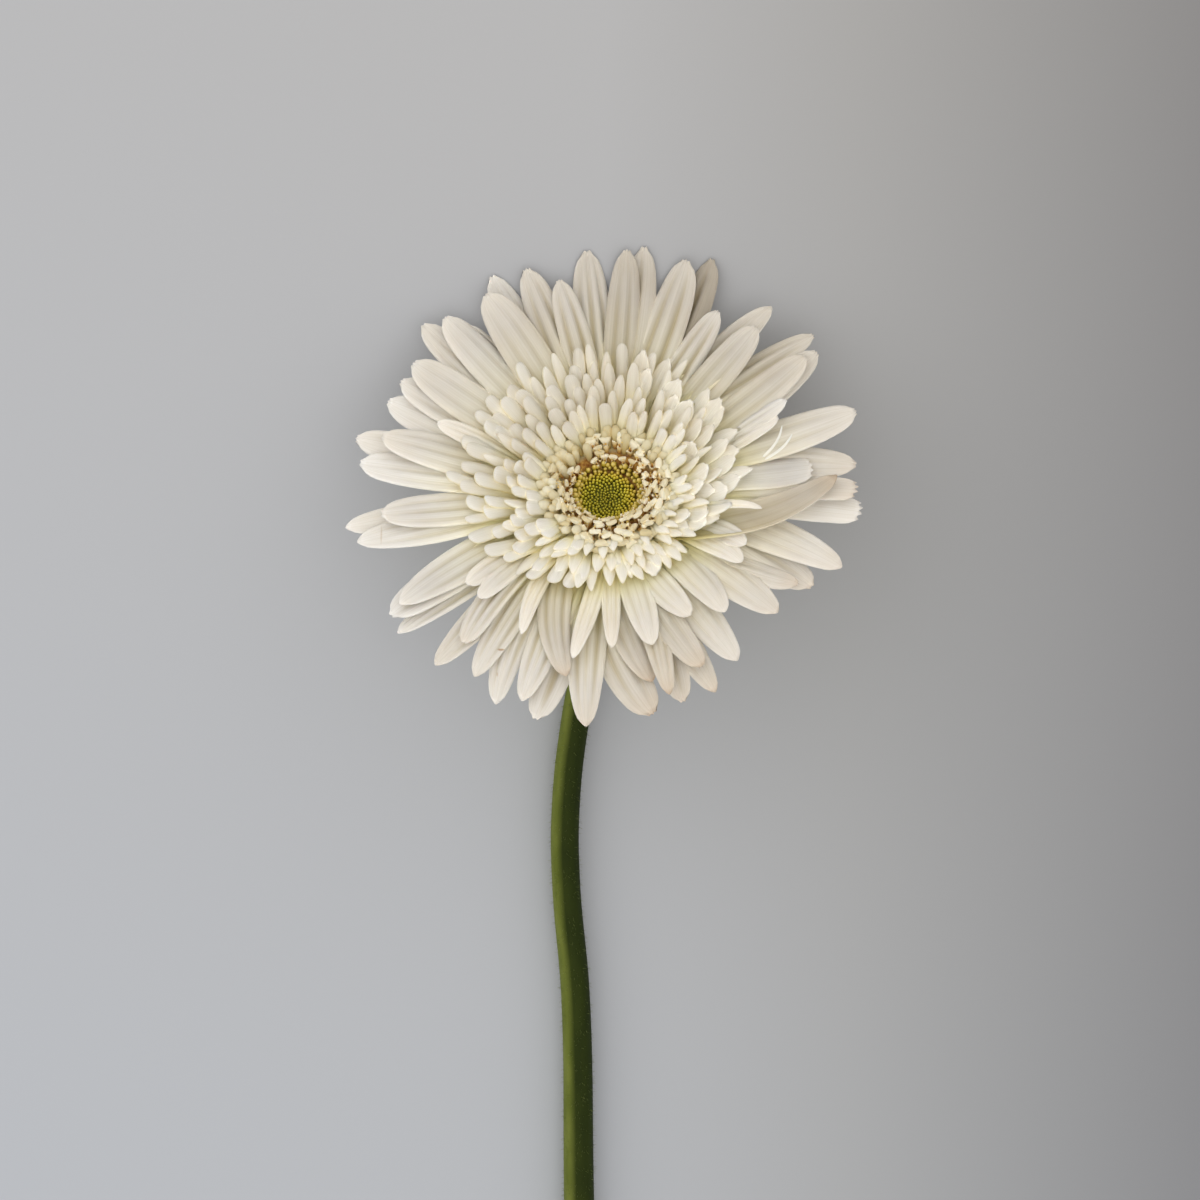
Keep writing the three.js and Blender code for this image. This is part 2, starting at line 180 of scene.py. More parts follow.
def stamped(name, copies):
    """One mesh from many copies."""
    starts = np.cumsum([0] + [len(copy.points) for copy in copies])
    corners = np.concatenate([copy.pattern.corners + start for copy, start in zip(copies, starts)])
    sizes = np.concatenate([copy.pattern.sizes for copy in copies])
    mesh = bpy.data.meshes.new(name)
    mesh.vertices.add(starts[-1])
    mesh.vertices.foreach_set("co", np.concatenate([copy.points for copy in copies]).ravel())
    mesh.loops.add(len(corners))
    mesh.loops.foreach_set("vertex_index", corners)
    mesh.polygons.add(len(sizes))
    mesh.polygons.foreach_set("loop_start", np.cumsum(sizes) - sizes)
    mesh.update(calc_edges=True)
    lie = np.concatenate([copy.pattern.map for copy in copies])
    mesh.uv_layers.new(name="lie").data.foreach_set("uv", lie.ravel())
    tones = [np.full(len(copy.points), copy.tone) for copy in copies]
    reliefs = [1 - copy.relief * (1 - copy.pattern.relief) for copy in copies]
    for key, values in (("tone", tones), ("relief", reliefs)):
        mesh.attributes.new(key, "FLOAT", "POINT").data.foreach_set("value", np.concatenate(values))
    mesh.shade_smooth()
    thing = bpy.data.objects.new(name, mesh)
    bpy.context.scene.collection.objects.link(thing)
    print(name, "has", len(copies), "copies and", int((sizes - 2).sum()), "triangles")
    return thing


# %% [markdown]
# ## The frame of the face
# The bloom grows round its own axis, so its florets are placed by clock angle, radius and
# height in the frame of the face, and one matrix tilts them onto the table. The flower isn't
# the same all round, so many of its values are given for a side of the bloom and fade from it.

# %% Face
FACE_TILT = math.radians(40)
FACE_TURN = math.radians(5)
FACE_ROTATION = Matrix.Rotation(FACE_TURN, 3, "Z") @ Matrix.Rotation(-FACE_TILT, 3, "X")
TURN = np.array(FACE_ROTATION)
print("the face leans back by", round(math.degrees(FACE_TILT)), "degrees")
# The side that hangs towards the foot of the stem, as a clock angle in degrees.
NEAR_SIDE = -90


def polar(clock, radius, height):
    return np.stack([radius * np.cos(clock), radius * np.sin(clock), height + 0 * clock], axis=-1)


def facing(clock, middle):
    """1 where the clock angle is the middle one (in degrees), falling to 0 a quarter turn away."""
    return max(0.0, math.cos(clock - math.radians(middle)))


def by_side(clock, *sides):
    """The sum of what the sides add at a clock angle. A side is given by its middle in degrees,
    what it adds there and the power that makes it narrow."""
    return sum(share * facing(clock, middle) ** power for middle, share, power in sides)


def on_table(points):
    """Face millimetres to table metres."""
    return (points @ TURN.T + np.array(FACE_MIDDLE)) * MM


# The same draws as in the solids, for what both of them leave to chance.
state = 2063


def draw(low, high):
    global state
    state = (state * 48271) % 2147483647
    return low + (high - low) * state / 2147483647


# Free draws for what the solids don't have: bends, rolls, ripples and tones.
whim = random.Random(11)

# %% [markdown]
# ## Where a long petal lies
# Long petals lie on three stacked shells that rise steeply from the cup and flatten outwards.
# The bloom leans, and petals that reach the table bend along it. The tips were placed as they
# are seen in the picture, so a short search finds the point of the face that shows there.

# %% Lines of the long petals
BLOOM_RADIUS = 57
RAY_ROOT = 9
RAY_ROOT_HEIGHT = -12.9
RAY_SHELL_RISE = 11.1
RAY_SHELL_POWER = 2.2
RAY_SHELL_PITCH = 1.5
BLOOM_LEAN = 7
TABLE_CLEARANCE = 0.35
TABLE_EASE = 2.5
SEARCH_STEPS = 12

view_turn = Matrix.Rotation(-VIEW_TILT, 3, "X")
view_axes = [np.array(FACE_ROTATION.transposed() @ view_turn.col[k]) for k in range(3)]


def lean(clock, radius):
    return BLOOM_LEAN * (radius - RAY_ROOT) * np.sin(clock) / (BLOOM_RADIUS - RAY_ROOT)


def ray_height(shell, clock, radius):
    left = np.maximum(0, 1 - (radius - RAY_ROOT) / (BLOOM_RADIUS - RAY_ROOT))
    free = RAY_ROOT_HEIGHT + RAY_SHELL_RISE * (1 - left**RAY_SHELL_POWER) + lean(clock, radius)
    drop = radius * np.sin(clock) * math.sin(FACE_TILT)
    table = (TABLE_CLEARANCE + drop - FACE_MIDDLE.z) / math.cos(FACE_TILT)
    return (free + table + np.hypot(free - table, TABLE_EASE)) / 2 + shell * RAY_SHELL_PITCH


def tip_seen_at(right, up, height_at):
    """Clock angle and radius of the tip that shows at this place in the picture."""
    across, upward, back = view_axes
    determinant = across[0] * upward[1] - across[1] * upward[0]
    tip = np.zeros(3)
    for _ in range(SEARCH_STEPS):
        tip[2] = height_at(math.atan2(tip[1], tip[0]), math.hypot(tip[0], tip[1]))
        nearness = tip @ back / VIEW_DISTANCE
        x = right - (right - VIEW_MIDDLE[0]) * nearness - tip[2] * across[2]
        y = up - (up - VIEW_MIDDLE[1]) * nearness - tip[2] * upward[2]
        tip[0] = (x * upward[1] - y * across[1]) / determinant
        tip[1] = (y * across[0] - x * upward[0]) / determinant
    return math.atan2(tip[1], tip[0]), math.hypot(tip[0], tip[1])


def arc(clock, sway, root, knee, tip):
    """A curve from root to tip drawn towards the knee, each given as radius and height."""

    def line(at):
        rest = 1 - at
        radius = rest**2 * root[0] + 2 * rest * at * knee[0] + at**2 * tip[0]
        height = rest**2 * root[1] + 2 * rest * at * knee[1] + at**2 * tip[1]
        return polar(clock + sway * rest, radius, height)

    return line


# %% [markdown]
# ## The strap: a long petal's blank
# A ray floret ends in a strap that five small petals grew together to make. Their seams still
# show as lengthwise furrows and as little teeth at the tip. A grid is drawn to size, its columns
# are pushed down into furrows, its rows are squeezed to the outline, and its last rows are pulled
# into teeth. A solidify modifier then gives it body, thinner towards the rim.

# %% The strap tool
# Rows counted back from the tip, and how much of a tooth's length each is pulled.
TOOTH_ROWS = [(0, 1), (1, 0.45), (2, 0.15)]


def strap(name, width, length, across, along, outline, furrows, teeth, body):
    """A flat floret along +y from the origin. Furrows are (place, depth, spread) in shares of
    the width and mm. Teeth are (number, length in mm). Body is thickness in mm, middle and rim."""
    clear_selection()
    bpy.ops.mesh.primitive_grid_add(x_subdivisions=across, y_subdivisions=along, size=1, calc_uvs=True)
    thing = bpy.context.object
    thing.name = name
    edit(True)
    bpy.ops.transform.translate(value=(0, 0.5, 0))
    bpy.ops.transform.resize(value=(width, length, 1), center_override=(0, 0, 0))
    for k in range(across + 1):
        share = k / across - 0.5
        sink = -sum(d * math.exp(-(((share - p) / s) ** 2)) for p, d, s in furrows)
        pick(lambda point: near(point.x, share * width))
        bpy.ops.transform.translate(value=(0, 0, sink))
    for k in range(along + 1):
        at = k / along
        wide = float(smooth_between(outline, at))
        # Furrows are shallow at the root and run out at the tip.
        depth = wide * min(1, 0.3 + 1.5 * at) * (1 - 0.85 * at**7)
        pick(lambda point: near(point.y, at * length))
        bpy.ops.transform.resize(value=(wide, 1, depth), center_override=(0, at * length, 0))
    tooth_number, tooth_length = teeth
    for back, strength in TOOTH_ROWS:
        at = 1 - back / along
        row_width = width * float(smooth_between(outline, at))
        for k in range(across + 1):
            share = k / across - 0.5
            wave = math.cos(2 * math.pi * tooth_number * share) * (-1) ** (tooth_number + 1)
            push = tooth_length * (0.5 * wave - 1.3 * (2 * share) ** 2)
            pick(lambda point: near(point.y, at * length) and near(point.x, share * row_width))
            bpy.ops.transform.translate(value=(0, push * strength, 0))
    edit(False)
    rim = thing.vertex_groups.new(name="body")
    for point in thing.data.vertices:
        at = min(1, point.co.y / length)
        share = min(0.5, abs(point.co.x / (width * float(smooth_between(outline, at)))))
        rim.add([point.index], (1 - (2 * share) ** 4) * (1 - at**16), "REPLACE")
    finish_with("SOLIDIFY", thickness=body[0], offset=0, vertex_group="body",
                thickness_vertex_group=body[1] / body[0])
    return Pattern(thing, width, length)


# %% [markdown]
# Six blanks are enough: two furrows round a middle rib, three narrow furrows, one broad fold,
# a plain one, one whose end is squared and one that is pointed. Their tips differ too, from four
# clear teeth to none.

# %% The blanks
PETAL_WIDTH = 9.0
PETAL_LENGTH = 48.0
PETAL_GRID = (14, 34)
PETAL_BODY = (0.5, 0.16)
PETAL_OUTLINE = [
    (0, 0.5), (0.25, 0.76), (0.42, 0.92), (0.58, 1), (0.72, 0.99),
    (0.84, 0.9), (0.92, 0.74), (0.965, 0.56), (0.99, 0.38), (1, 0.27),
]
POINTED_OUTLINE = [
    (0, 0.5), (0.25, 0.78), (0.4, 0.95), (0.52, 1), (0.66, 0.97),
    (0.79, 0.85), (0.89, 0.67), (0.95, 0.5), (0.985, 0.35), (1, 0.25),
]
SQUARE_OUTLINE = [(0, 0.5), (0.25, 0.74), (0.45, 0.9), (0.65, 1), (0.85, 0.97), (0.95, 0.88), (1, 0.78)]
# Name, outline, furrows and teeth of each.
BLANKS = [
    ("two_furrows", PETAL_OUTLINE, [(-0.19, 1.8, 0.1), (0.21, 1.6, 0.11)], (3, 0.35)),
    ("three_furrows", PETAL_OUTLINE, [(-0.28, 1.4, 0.08), (0.02, 1.7, 0.09), (0.3, 1.3, 0.08)], (2, 0.35)),
    ("one_fold", PETAL_OUTLINE, [(0.05, 2.2, 0.14)], (2, 0.4)),
    ("plain", PETAL_OUTLINE, [(-0.17, 1.2, 0.1), (0.18, 1.3, 0.11)], (3, 0.3)),
    ("squared", SQUARE_OUTLINE, [(-0.22, 0.8, 0.09), (0.15, 0.8, 0.1)], (4, 1.0)),
    ("pointed", POINTED_OUTLINE, [(-0.24, 1.7, 0.09), (0.0, 1.2, 0.08), (0.25, 1.6, 0.09)], (1, 0.4)),
]
TWO_FURROWS, THREE_FURROWS, ONE_FOLD, PLAIN, SQUARED, POINTED = range(6)
blanks = [
    strap(name, PETAL_WIDTH, PETAL_LENGTH, *PETAL_GRID, outline, furrows, teeth, PETAL_BODY)
    for name, outline, furrows, teeth in BLANKS
]

# %% [markdown]
# ## Bending a strap along its line
# Each copy follows its own line from root to tip. Across the line it is arched like a gutter
# turned over or left hollow, rolled to one side so that neighbours overlap like roof tiles,
# rippled at its edges and hooked at its tip. Nothing may sink into the table, so points near it
# are eased back above it.

# %% Bend
LINE_STEP = 0.01
RIPPLE_RATE = 9
# Ripples of the left and the right edge aren't in step.
RIPPLE_LAG = 2.5
HOOK_START = 0.72


def unit(vectors):
    return vectors / np.linalg.norm(vectors, axis=-1, keepdims=True)


def bent(pattern, line, width, arch=0.0, roll=0.0, ripple=0.0, hook=0.0, phase=0.0, depth=1.0):
    """The pattern's points along a line of the face, in millimetres of the face."""
    u = pattern.points[:, 0] / pattern.width
    v = pattern.points[:, 1] / pattern.length
    middle = line(v)
    along = unit(line(v + LINE_STEP) - line(v - LINE_STEP))
    across = unit(np.cross((0.0, 0.0, 1.0), along))
    up = np.cross(along, across)
    turn = roll * v
    side = across * np.cos(turn)[:, None] + up * np.sin(turn)[:, None]
    top = up * np.cos(turn)[:, None] - across * np.sin(turn)[:, None]
    lift = pattern.points[:, 2] * depth - arch * (2 * u) ** 2
    lift += ripple * np.abs(2 * u) ** 1.5 * np.sin(RIPPLE_RATE * v + phase + RIPPLE_LAG * np.sign(u))
    lift -= hook * np.clip((v - HOOK_START) / (1 - HOOK_START), 0, 1.1) ** 2
    return middle + side * (u * width)[:, None] + top * lift[:, None]


LOWEST = 0.12
LOW_EASE = 0.35


def above_table(points):
    """Table metres with whatever would sink into the table eased back above it."""
    height = points[:, 2] / MM
    points[:, 2] = (height + LOWEST + np.hypot(height - LOWEST, LOW_EASE)) / 2 * MM
    return points


# %% [markdown]
# ## The long petals
# One row for each, anticlockwise from the right of the picture: the tip right of and above the
# disc's middle in millimetres, full width, shell from the back to the front, and how far the
# root lies anticlockwise of the tip in degrees.

# %% Tips of the long petals
RAYS = [
    (55.1, 5.1, 8.4, 0, 14),
    (45.3, 4.6, 8.4, 1, 0),
    (50.7, 2.7, 8.6, 2, -38),
    (55.1, 17.1, 10.0, 1, 0),
    (46.4, 30.2, 8.0, 1, -5),
    (43.8, 29.3, 8.6, 2, -5),
    (45.6, 34.0, 7.6, 0, 12),
    (36.2, 40.2, 9.0, 0, 6),
    (32.9, 35.8, 8.2, 2, 0),
    (24.4, 39.3, 7.0, 2, 5),
    (23.1, 50.9, 8.0, 0, 0),
    (17.3, 50.7, 9.8, 1, 2),
    (8.0, 53.6, 8.0, 0, 0),
    (4.2, 52.9, 7.8, 1, 0),
    (-4.7, 52.7, 8.9, 0, 0),
    (-10.9, 46.2, 7.2, 2, -4),
    (-18.2, 48.7, 8.4, 1, -3),
    (-25.8, 47.1, 8.4, 0, -3),
    (-27.1, 43.1, 10.0, 2, -4),
    (-31.8, 36.2, 7.4, 0, -3),
    (-36.2, 38.0, 9.4, 1, -2),
    (-41.1, 36.4, 8.6, 0, 0),
    (-43.3, 27.8, 10.0, 2, 0),
    (-46.0, 23.8, 8.6, 1, 0),
    (-48.9, 19.3, 9.0, 0, 0),
    (-50.2, 11.6, 9.6, 2, 0),
    (-56.0, 11.1, 8.4, 0, 0),
    (-55.1, 5.6, 9.4, 1, 0),
    (-50.4, -5.8, 8.8, 2, 0),
    (-58.2, -8.7, 8.0, 0, -3),
    (-55.6, -12.0, 9.6, 1, -3),
    (-46.2, -25.6, 9.8, 2, -8),
    (-48.2, -28.4, 9.8, 1, -8),
    (-46.7, -32.0, 7.4, 0, -4),
    (-38.4, -39.1, 8.4, 0, -2),
    (-32.2, -34.2, 6.8, 2, -14),
    (-29.6, -41.8, 7.4, 1, -8),
    (-24.9, -47.8, 7.8, 0, -16),
    (-19.1, -47.1, 8.0, 1, -3),
    (-16.2, -51.3, 8.2, 0, 3),
    (-9.3, -41.6, 7.4, 2, -28),
    (-4.9, -52.7, 8.6, 1, -6),
    (10.0, -50.2, 9.8, 0, -22),
    (9.8, -42.7, 8.8, 1, -12),
    (13.6, -45.8, 6.0, 2, 4),
    (16.6, -47.4, 7.0, 0, 3),
    (23.8, -45.1, 7.4, 0, -3),
    (20.9, -39.6, 7.0, 2, -9),
    (28.7, -38.0, 9.0, 1, 0),
    (37.6, -27.6, 10.0, 2, 4),
    (42.2, -21.3, 6.0, 1, -10),
    (45.3, -22.0, 9.6, 0, 12),
    (51.8, -17.6, 9.6, 1, 12),
    (55.3, -0.2, 7.4, 1, 6),
    (56.2, -4.9, 8.0, 0, 4),
]
print(len(RAYS), "long petals")

# %% [markdown]
# Each row then grows its petal. The fringe of fingers rests on the long petals, so they swell a
# little under it, the upper shells and the near side less. Blanks, furrows, arch and tone are
# drawn at random, but some are likelier on one side of the bloom.

# %% Grow the long petals
RAY_SWELL = 5.2
RAY_SWELL_MIDDLE = 24
RAY_SWELL_SPREAD = 12
SHELL_LOSS = 0.3
NEAR_LOSS = 0.6
# What changes round the bloom: the chance of a pointed blank, the depth of the furrows, the arch
# and the paleness, which is greatest on the left. The paleness added by side is painted light and shade.
POINTED_SIDE = (-100, 0.65, 1)
DEEP_SIDES = (80, 0.6, 4), (235, 0.45, 2)
ARCHED_SIDES = (NEAR_SIDE, 0.5, 1), (80, 0.9, 2)
PAINTED_LIGHT_SIDES = (185, 0.6, 1), (-30, 0.3, 2)
# What changes from petal to petal: from and to.
RAY_DEPTH = (0.25, 0.45)
RAY_ARCH = (0.2, 1.0)
RAY_ROLL = (-12, 12)
RAY_RIPPLE = (0.05, 0.3)
RAY_HOOK = (-0.2, 0.6)
RAY_PALENESS = (0.14, 0.5)
LEAST_PALENESS = 0.12
# Rows that leave nothing to chance: three ends cut square, two hollow petals that taper, and a few
# tones. Row 10, at the upper right, stands in the shade of its neighbours and is older: its low tone is
# painted shade as well as age. The low tone of row 2, a hollow petal, is painted shade too.
CHOSEN_BLANK = {1: SQUARED, 2: POINTED, 7: POINTED, 53: SQUARED, 54: SQUARED}
CHOSEN_ARCH = {2: -1.6, 7: -0.8}
CHOSEN_TONE_AND_SHADE = {1: 0.9, 2: 0.12, 3: 0.6, 10: 0.04}

copies = []
for row, (right, up, width, shell, sway) in enumerate(RAYS):
    tip_clock, tip_radius = tip_seen_at(right, up, lambda clock, radius: ray_height(shell, clock, radius))
    near_side = facing(tip_clock, NEAR_SIDE)

    def line(at):
        radius = RAY_ROOT + (tip_radius - RAY_ROOT) * at
        clock = tip_clock + math.radians(sway) * (1 - at)
        swell = RAY_SWELL * np.exp(-(((radius - RAY_SWELL_MIDDLE) / RAY_SWELL_SPREAD) ** 2))
        swell = swell * (1 - SHELL_LOSS * shell) * (1 - NEAR_LOSS * near_side)
        return polar(clock, radius, ray_height(shell, clock, radius) + swell)

    kind = whim.choice([TWO_FURROWS, TWO_FURROWS, THREE_FURROWS, THREE_FURROWS, ONE_FOLD, PLAIN])
    if whim.random() < by_side(tip_clock, POINTED_SIDE):
        kind = POINTED
    blank = blanks[CHOSEN_BLANK.get(row, kind)]
    depth = whim.uniform(*RAY_DEPTH) + by_side(tip_clock, *DEEP_SIDES)
    points = bent(
        blank, line, width,
        arch=CHOSEN_ARCH.get(row, whim.uniform(*RAY_ARCH) + by_side(tip_clock, *ARCHED_SIDES)),
        roll=math.radians(whim.uniform(*RAY_ROLL)),
        ripple=whim.uniform(*RAY_RIPPLE),
        hook=whim.uniform(*RAY_HOOK) * (0.3 + near_side),
        depth=depth,
        phase=whim.uniform(0, 6.28),
    )
    # The paleness added by side is painted light and shade; the random part is the petal's own tone.
    pale_and_lit = whim.uniform(*RAY_PALENESS) + by_side(tip_clock, *PAINTED_LIGHT_SIDES)
    pale_and_lit = CHOSEN_TONE_AND_SHADE.get(row, clamped(pale_and_lit, LEAST_PALENESS))
    # Shallow furrows also get fainter painted shade.
    copies.append(Copy(blank, above_table(on_table(points)), pale_and_lit, min(1.0, 0.1 + 1.1 * depth)))
long_petals = stamped("long_petals", copies)

# %% [markdown]
# ## Fingers
# Between the long petals and the disc stand nearly two hundred trans florets. Each looks like a
# finger: a narrow, arched strap with a hooded, rounded end. A finger is drawn from a small ring
# that is extruded and scaled from root to tip. The same tool draws all the other round bodies.

# %% The ring tool
def ringed(name, sides, stations, smooth=0):
    """A round body along +y. Stations are (place, half width, half depth) in mm, without the
    depth where it is the same."""
    stations = [(place, wide, deep[0] if deep else wide) for place, wide, *deep in stations]
    first = stations[0]
    clear_selection()
    bpy.ops.mesh.primitive_circle_add(vertices=sides, radius=1, fill_type="NGON",
                                      rotation=(-math.pi / 2, 0, 0))
    thing = bpy.context.object
    thing.name = name
    bpy.ops.object.transform_apply(rotation=True)
    edit(True)
    bpy.ops.mesh.select_all(action="SELECT")
    bpy.ops.transform.resize(value=(first[1], 1, first[2]), center_override=(0, 0, 0))
    bpy.ops.transform.translate(value=(0, first[0], 0))
    for before, after in zip(stations, stations[1:]):
        bpy.ops.mesh.extrude_region_move(TRANSFORM_OT_translate={"value": (0, after[0] - before[0], 0)})
        scale = (after[1] / before[1], 1, after[2] / before[2])
        bpy.ops.transform.resize(value=scale, center_override=(0, after[0], 0))
    bpy.ops.mesh.select_all(action="SELECT")
    bpy.ops.mesh.normals_make_consistent(inside=False)
    edit(False)
    if smooth:
        finish_with("SUBSURF", levels=smooth, render_levels=smooth)
    return thing


# %% [markdown]
# Three of these bodies, each with a shallow furrow along its upper side, and one short strap
# give four kinds of finger: round, slim, pointed and flat.

# %% Kinds of finger
FINGER_WIDTH = 2.8
FINGER_LENGTH = 20.0
FINGER_THICK = 1.7
FINGER_SIDES = 14
FINGER_CREST = 0.5
FURROW_PLACE = 0.43
FURROW_REACH = 0.06
# Each station has its share of the length, of the half width and of the half thickness.
ROUND_FINGER = [
    (0, 0.8, 0.6), (0.25, 0.9, 0.62), (0.45, 0.98, 0.68), (0.62, 1.0, 0.74), (0.75, 1.04, 0.86),
    (0.85, 1.06, 0.96), (0.92, 0.96, 0.94), (0.965, 0.75, 0.8), (0.99, 0.46, 0.52), (1.0, 0.18, 0.22),
]
SLIM_FINGER = [
    (0, 0.8, 0.6), (0.25, 0.92, 0.62), (0.45, 1.0, 0.68), (0.6, 1.04, 0.74), (0.72, 1.04, 0.82),
    (0.82, 0.95, 0.82), (0.9, 0.76, 0.72), (0.96, 0.52, 0.56), (0.99, 0.3, 0.4), (1.0, 0.14, 0.2),
]
POINTED_FINGER = [
    (0, 0.85, 0.6), (0.25, 0.95, 0.64), (0.42, 1.02, 0.7), (0.56, 1.04, 0.74), (0.68, 0.96, 0.74),
    (0.79, 0.8, 0.68), (0.88, 0.6, 0.56), (0.95, 0.38, 0.42), (0.985, 0.22, 0.28), (1.0, 0.1, 0.14),
]


def finger_pattern(name, shape, furrow):
    half_width, half_thick = FINGER_WIDTH / 2, FINGER_THICK / 2
    thing = ringed(name, FINGER_SIDES, [
        (at * FINGER_LENGTH, wide * half_width, thick * half_thick) for at, wide, thick in shape
    ])
    edit(True)
    for at, wide, thick in shape[:-1]:
        place = FURROW_PLACE * wide * half_width
        pick(lambda point: near(point.y, at * FINGER_LENGTH) and point.z > 0
             and abs(abs(point.x) - place) < FURROW_REACH * wide)
        bpy.ops.transform.translate(value=(0, 0, -furrow * wide))
    edit(False)
    thing = mapped(thing, FINGER_WIDTH, 0, FINGER_LENGTH, axis=1)
    return Pattern(thing, FINGER_WIDTH, FINGER_LENGTH, FINGER_CREST)


round_finger = finger_pattern("round_finger", ROUND_FINGER, 0.14)
slim_finger = finger_pattern("slim_finger", SLIM_FINGER, 0.24)
pointed_finger = finger_pattern("pointed_finger", POINTED_FINGER, 0.2)
FLAT_OUTLINE = [(0, 0.4), (0.4, 0.7), (0.65, 1), (0.82, 0.95), (0.92, 0.7), (1, 0.34)]
flat_finger = strap("flat_finger", 4.4, FINGER_LENGTH, 8, 14, FLAT_OUTLINE,
                    [(-0.2, 0.4, 0.1), (0.2, 0.4, 0.1)], (2, 0.5), (0.7, 0.25))

# %% [markdown]
# A few larger florets stand between the fingers and the long petals. They are straps again, each
# placed as it is seen in the picture.

# %% Larger florets of the fringe
TRANS_ROOT = 10.6
# The knee's radius in the outermost row of the fringe and in the innermost.
TRANS_KNEE = (26, 14.4)
MIDDLE_ROOT_HEIGHT = -6.9
MIDDLE_KNEE_HEIGHT = 0
MIDDLE_TIP_HEIGHT = 2.2
# The tip right of and above the disc's middle, full width and sway.
MIDDLE_PETALS = [
    (37.6, 16.2, 5.2, -3),
    (39.3, 20.2, 5.6, -6),
    (34.0, -3.8, 2.7, 4),
    (30.2, -12.0, 5.6, 8),
    (29.6, -15.8, 6.0, 8),
    (26.0, -26.9, 8.0, 6),
    (18.0, -27.8, 6.7, -8),
    (9.6, -34.2, 7.0, 0),
    (0.9, -35.1, 4.2, 0),
    (-8.0, -37.1, 4.6, 6),
    (-18.9, -31.8, 4.0, -15),
    (-28.7, -24.2, 5.0, -6),
    (-31.3, -21.1, 5.0, -4),
    (-37.8, 15.1, 5.2, 0),
]
# Two of them lie on top of long petals.
CHOSEN_LIFT = {2: 3.2, 13: 1.7}
# Those that face this side taper to a point.
TAPERED_SIDE = -60
TAPERED_SHARE = 0.3
MIDDLE_ARCH = 0.6
MIDDLE_DEPTH = 0.3
MIDDLE_HOOK = (0.2, 1.2)
MIDDLE_ROLL = (-20, 20)
MIDDLE_PALENESS = (0.7, 1)
# How much of the painted furrow shade the middle petals keep.
MIDDLE_FURROW_SHADE = 0.55

copies = []
for row, (right, up, width, sway) in enumerate(MIDDLE_PETALS):
    lift = CHOSEN_LIFT.get(row, 0.0)

    def tip_height(clock, radius):
        return MIDDLE_TIP_HEIGHT + lift + lean(clock, radius)

    tip_clock, tip_radius = tip_seen_at(right, up, tip_height)
    line = arc(tip_clock, math.radians(sway), (TRANS_ROOT, MIDDLE_ROOT_HEIGHT),
               (TRANS_KNEE[0], MIDDLE_KNEE_HEIGHT + lift + lean(tip_clock, TRANS_KNEE[0])),
               (tip_radius, tip_height(tip_clock, tip_radius)))
    kind = whim.choice([TWO_FURROWS, THREE_FURROWS, PLAIN])
    if facing(tip_clock, TAPERED_SIDE) > TAPERED_SHARE:
        kind = POINTED
    points = bent(blanks[kind], line, width, arch=MIDDLE_ARCH, depth=MIDDLE_DEPTH,
                  hook=whim.uniform(*MIDDLE_HOOK), roll=math.radians(whim.uniform(*MIDDLE_ROLL)))
    copies.append(Copy(blanks[kind], on_table(points), whim.uniform(*MIDDLE_PALENESS), MIDDLE_FURROW_SHADE))
middle_petals = stamped("middle_petals", copies)

# %% [markdown]
# The fingers stand in seven staggered rows that share a rule of growth with the solids, and more
# of them fill the gaps. The fringe is wide at the top and left and narrow below.

# %% The rule of the fringe
TRANS_ROWS = 7
# For the outermost row and the innermost.
TRANS_COUNT = (27, 33)
TRANS_REACH = (33.5, 18.6)
TRANS_ROOT_HEIGHT = (-7.1, -3.3)
TRANS_KNEE_HEIGHT = (-1.2, -0.4)
TRANS_TIP_HEIGHT = (2.5, 3.8)
TRANS_WIDTH = (3.1, 2.7)
# Clock angles, and how far out the fringe goes at them.
FRINGE_REACH = (
    (0, 45, 90, 135, 180, 215, 250, 285, 320, 340, 360),
    (31, 33, 34.5, 34.5, 34, 30, 25, 23.5, 24, 27, 31),
)
# The round bodies fill the fringe more than the solids' blades do, so they may lie higher.
KNEE_LIFT = 0.9
# On the near side they arch over and hang.
NEAR_DROP = 2.4
NEAR_ARCH = 1.2
# Tips closer than this would run into each other, and gaps wider than this are filled.
CROWDING = 1.9
TIP_SPACING = 3.2
SPACING_SIDES = (-70, -1.0, 1), (180, 0.4, 1)
FILL_TRIES = 1500
# The sides where a finger is flat, pointed or round. The rest are slim.
FLAT_SIDE = (5, 1.5, 2)
POINTED_FINGER_SIDE = (-60, 1.1, 1)
ROUND_SIDES = (180, 0.65, 1), (-60, -0.25, 1)
ROUND_CHANCE = 0.25
# How wide each kind is for its row. Round ones are wider still on their own side.
FLAT_WIDE = 1.5
SLIM_WIDE = 0.92
ROUND_WIDE = 0.95
ROUNDEST_SIDE = (180, 0.15, 1)
FINGER_ARCH = 0.35
FINGER_ROLL = (-25, 25)
FINGER_HOOK = (-0.7, 0.4)
HOOKED_SIDE = (-45, 0.3, 1)
FINGER_TONE = (0.8, 1.05)
# Fingers on this side get a lower tone: painted shade.
SHADED_SIDE = (90, -0.5, 1)


def between(pair, share):
    return pair[0] + (pair[1] - pair[0]) * share


def fringe_reach(clock):
    return float(np.interp(math.degrees(clock) % 360, *FRINGE_REACH))


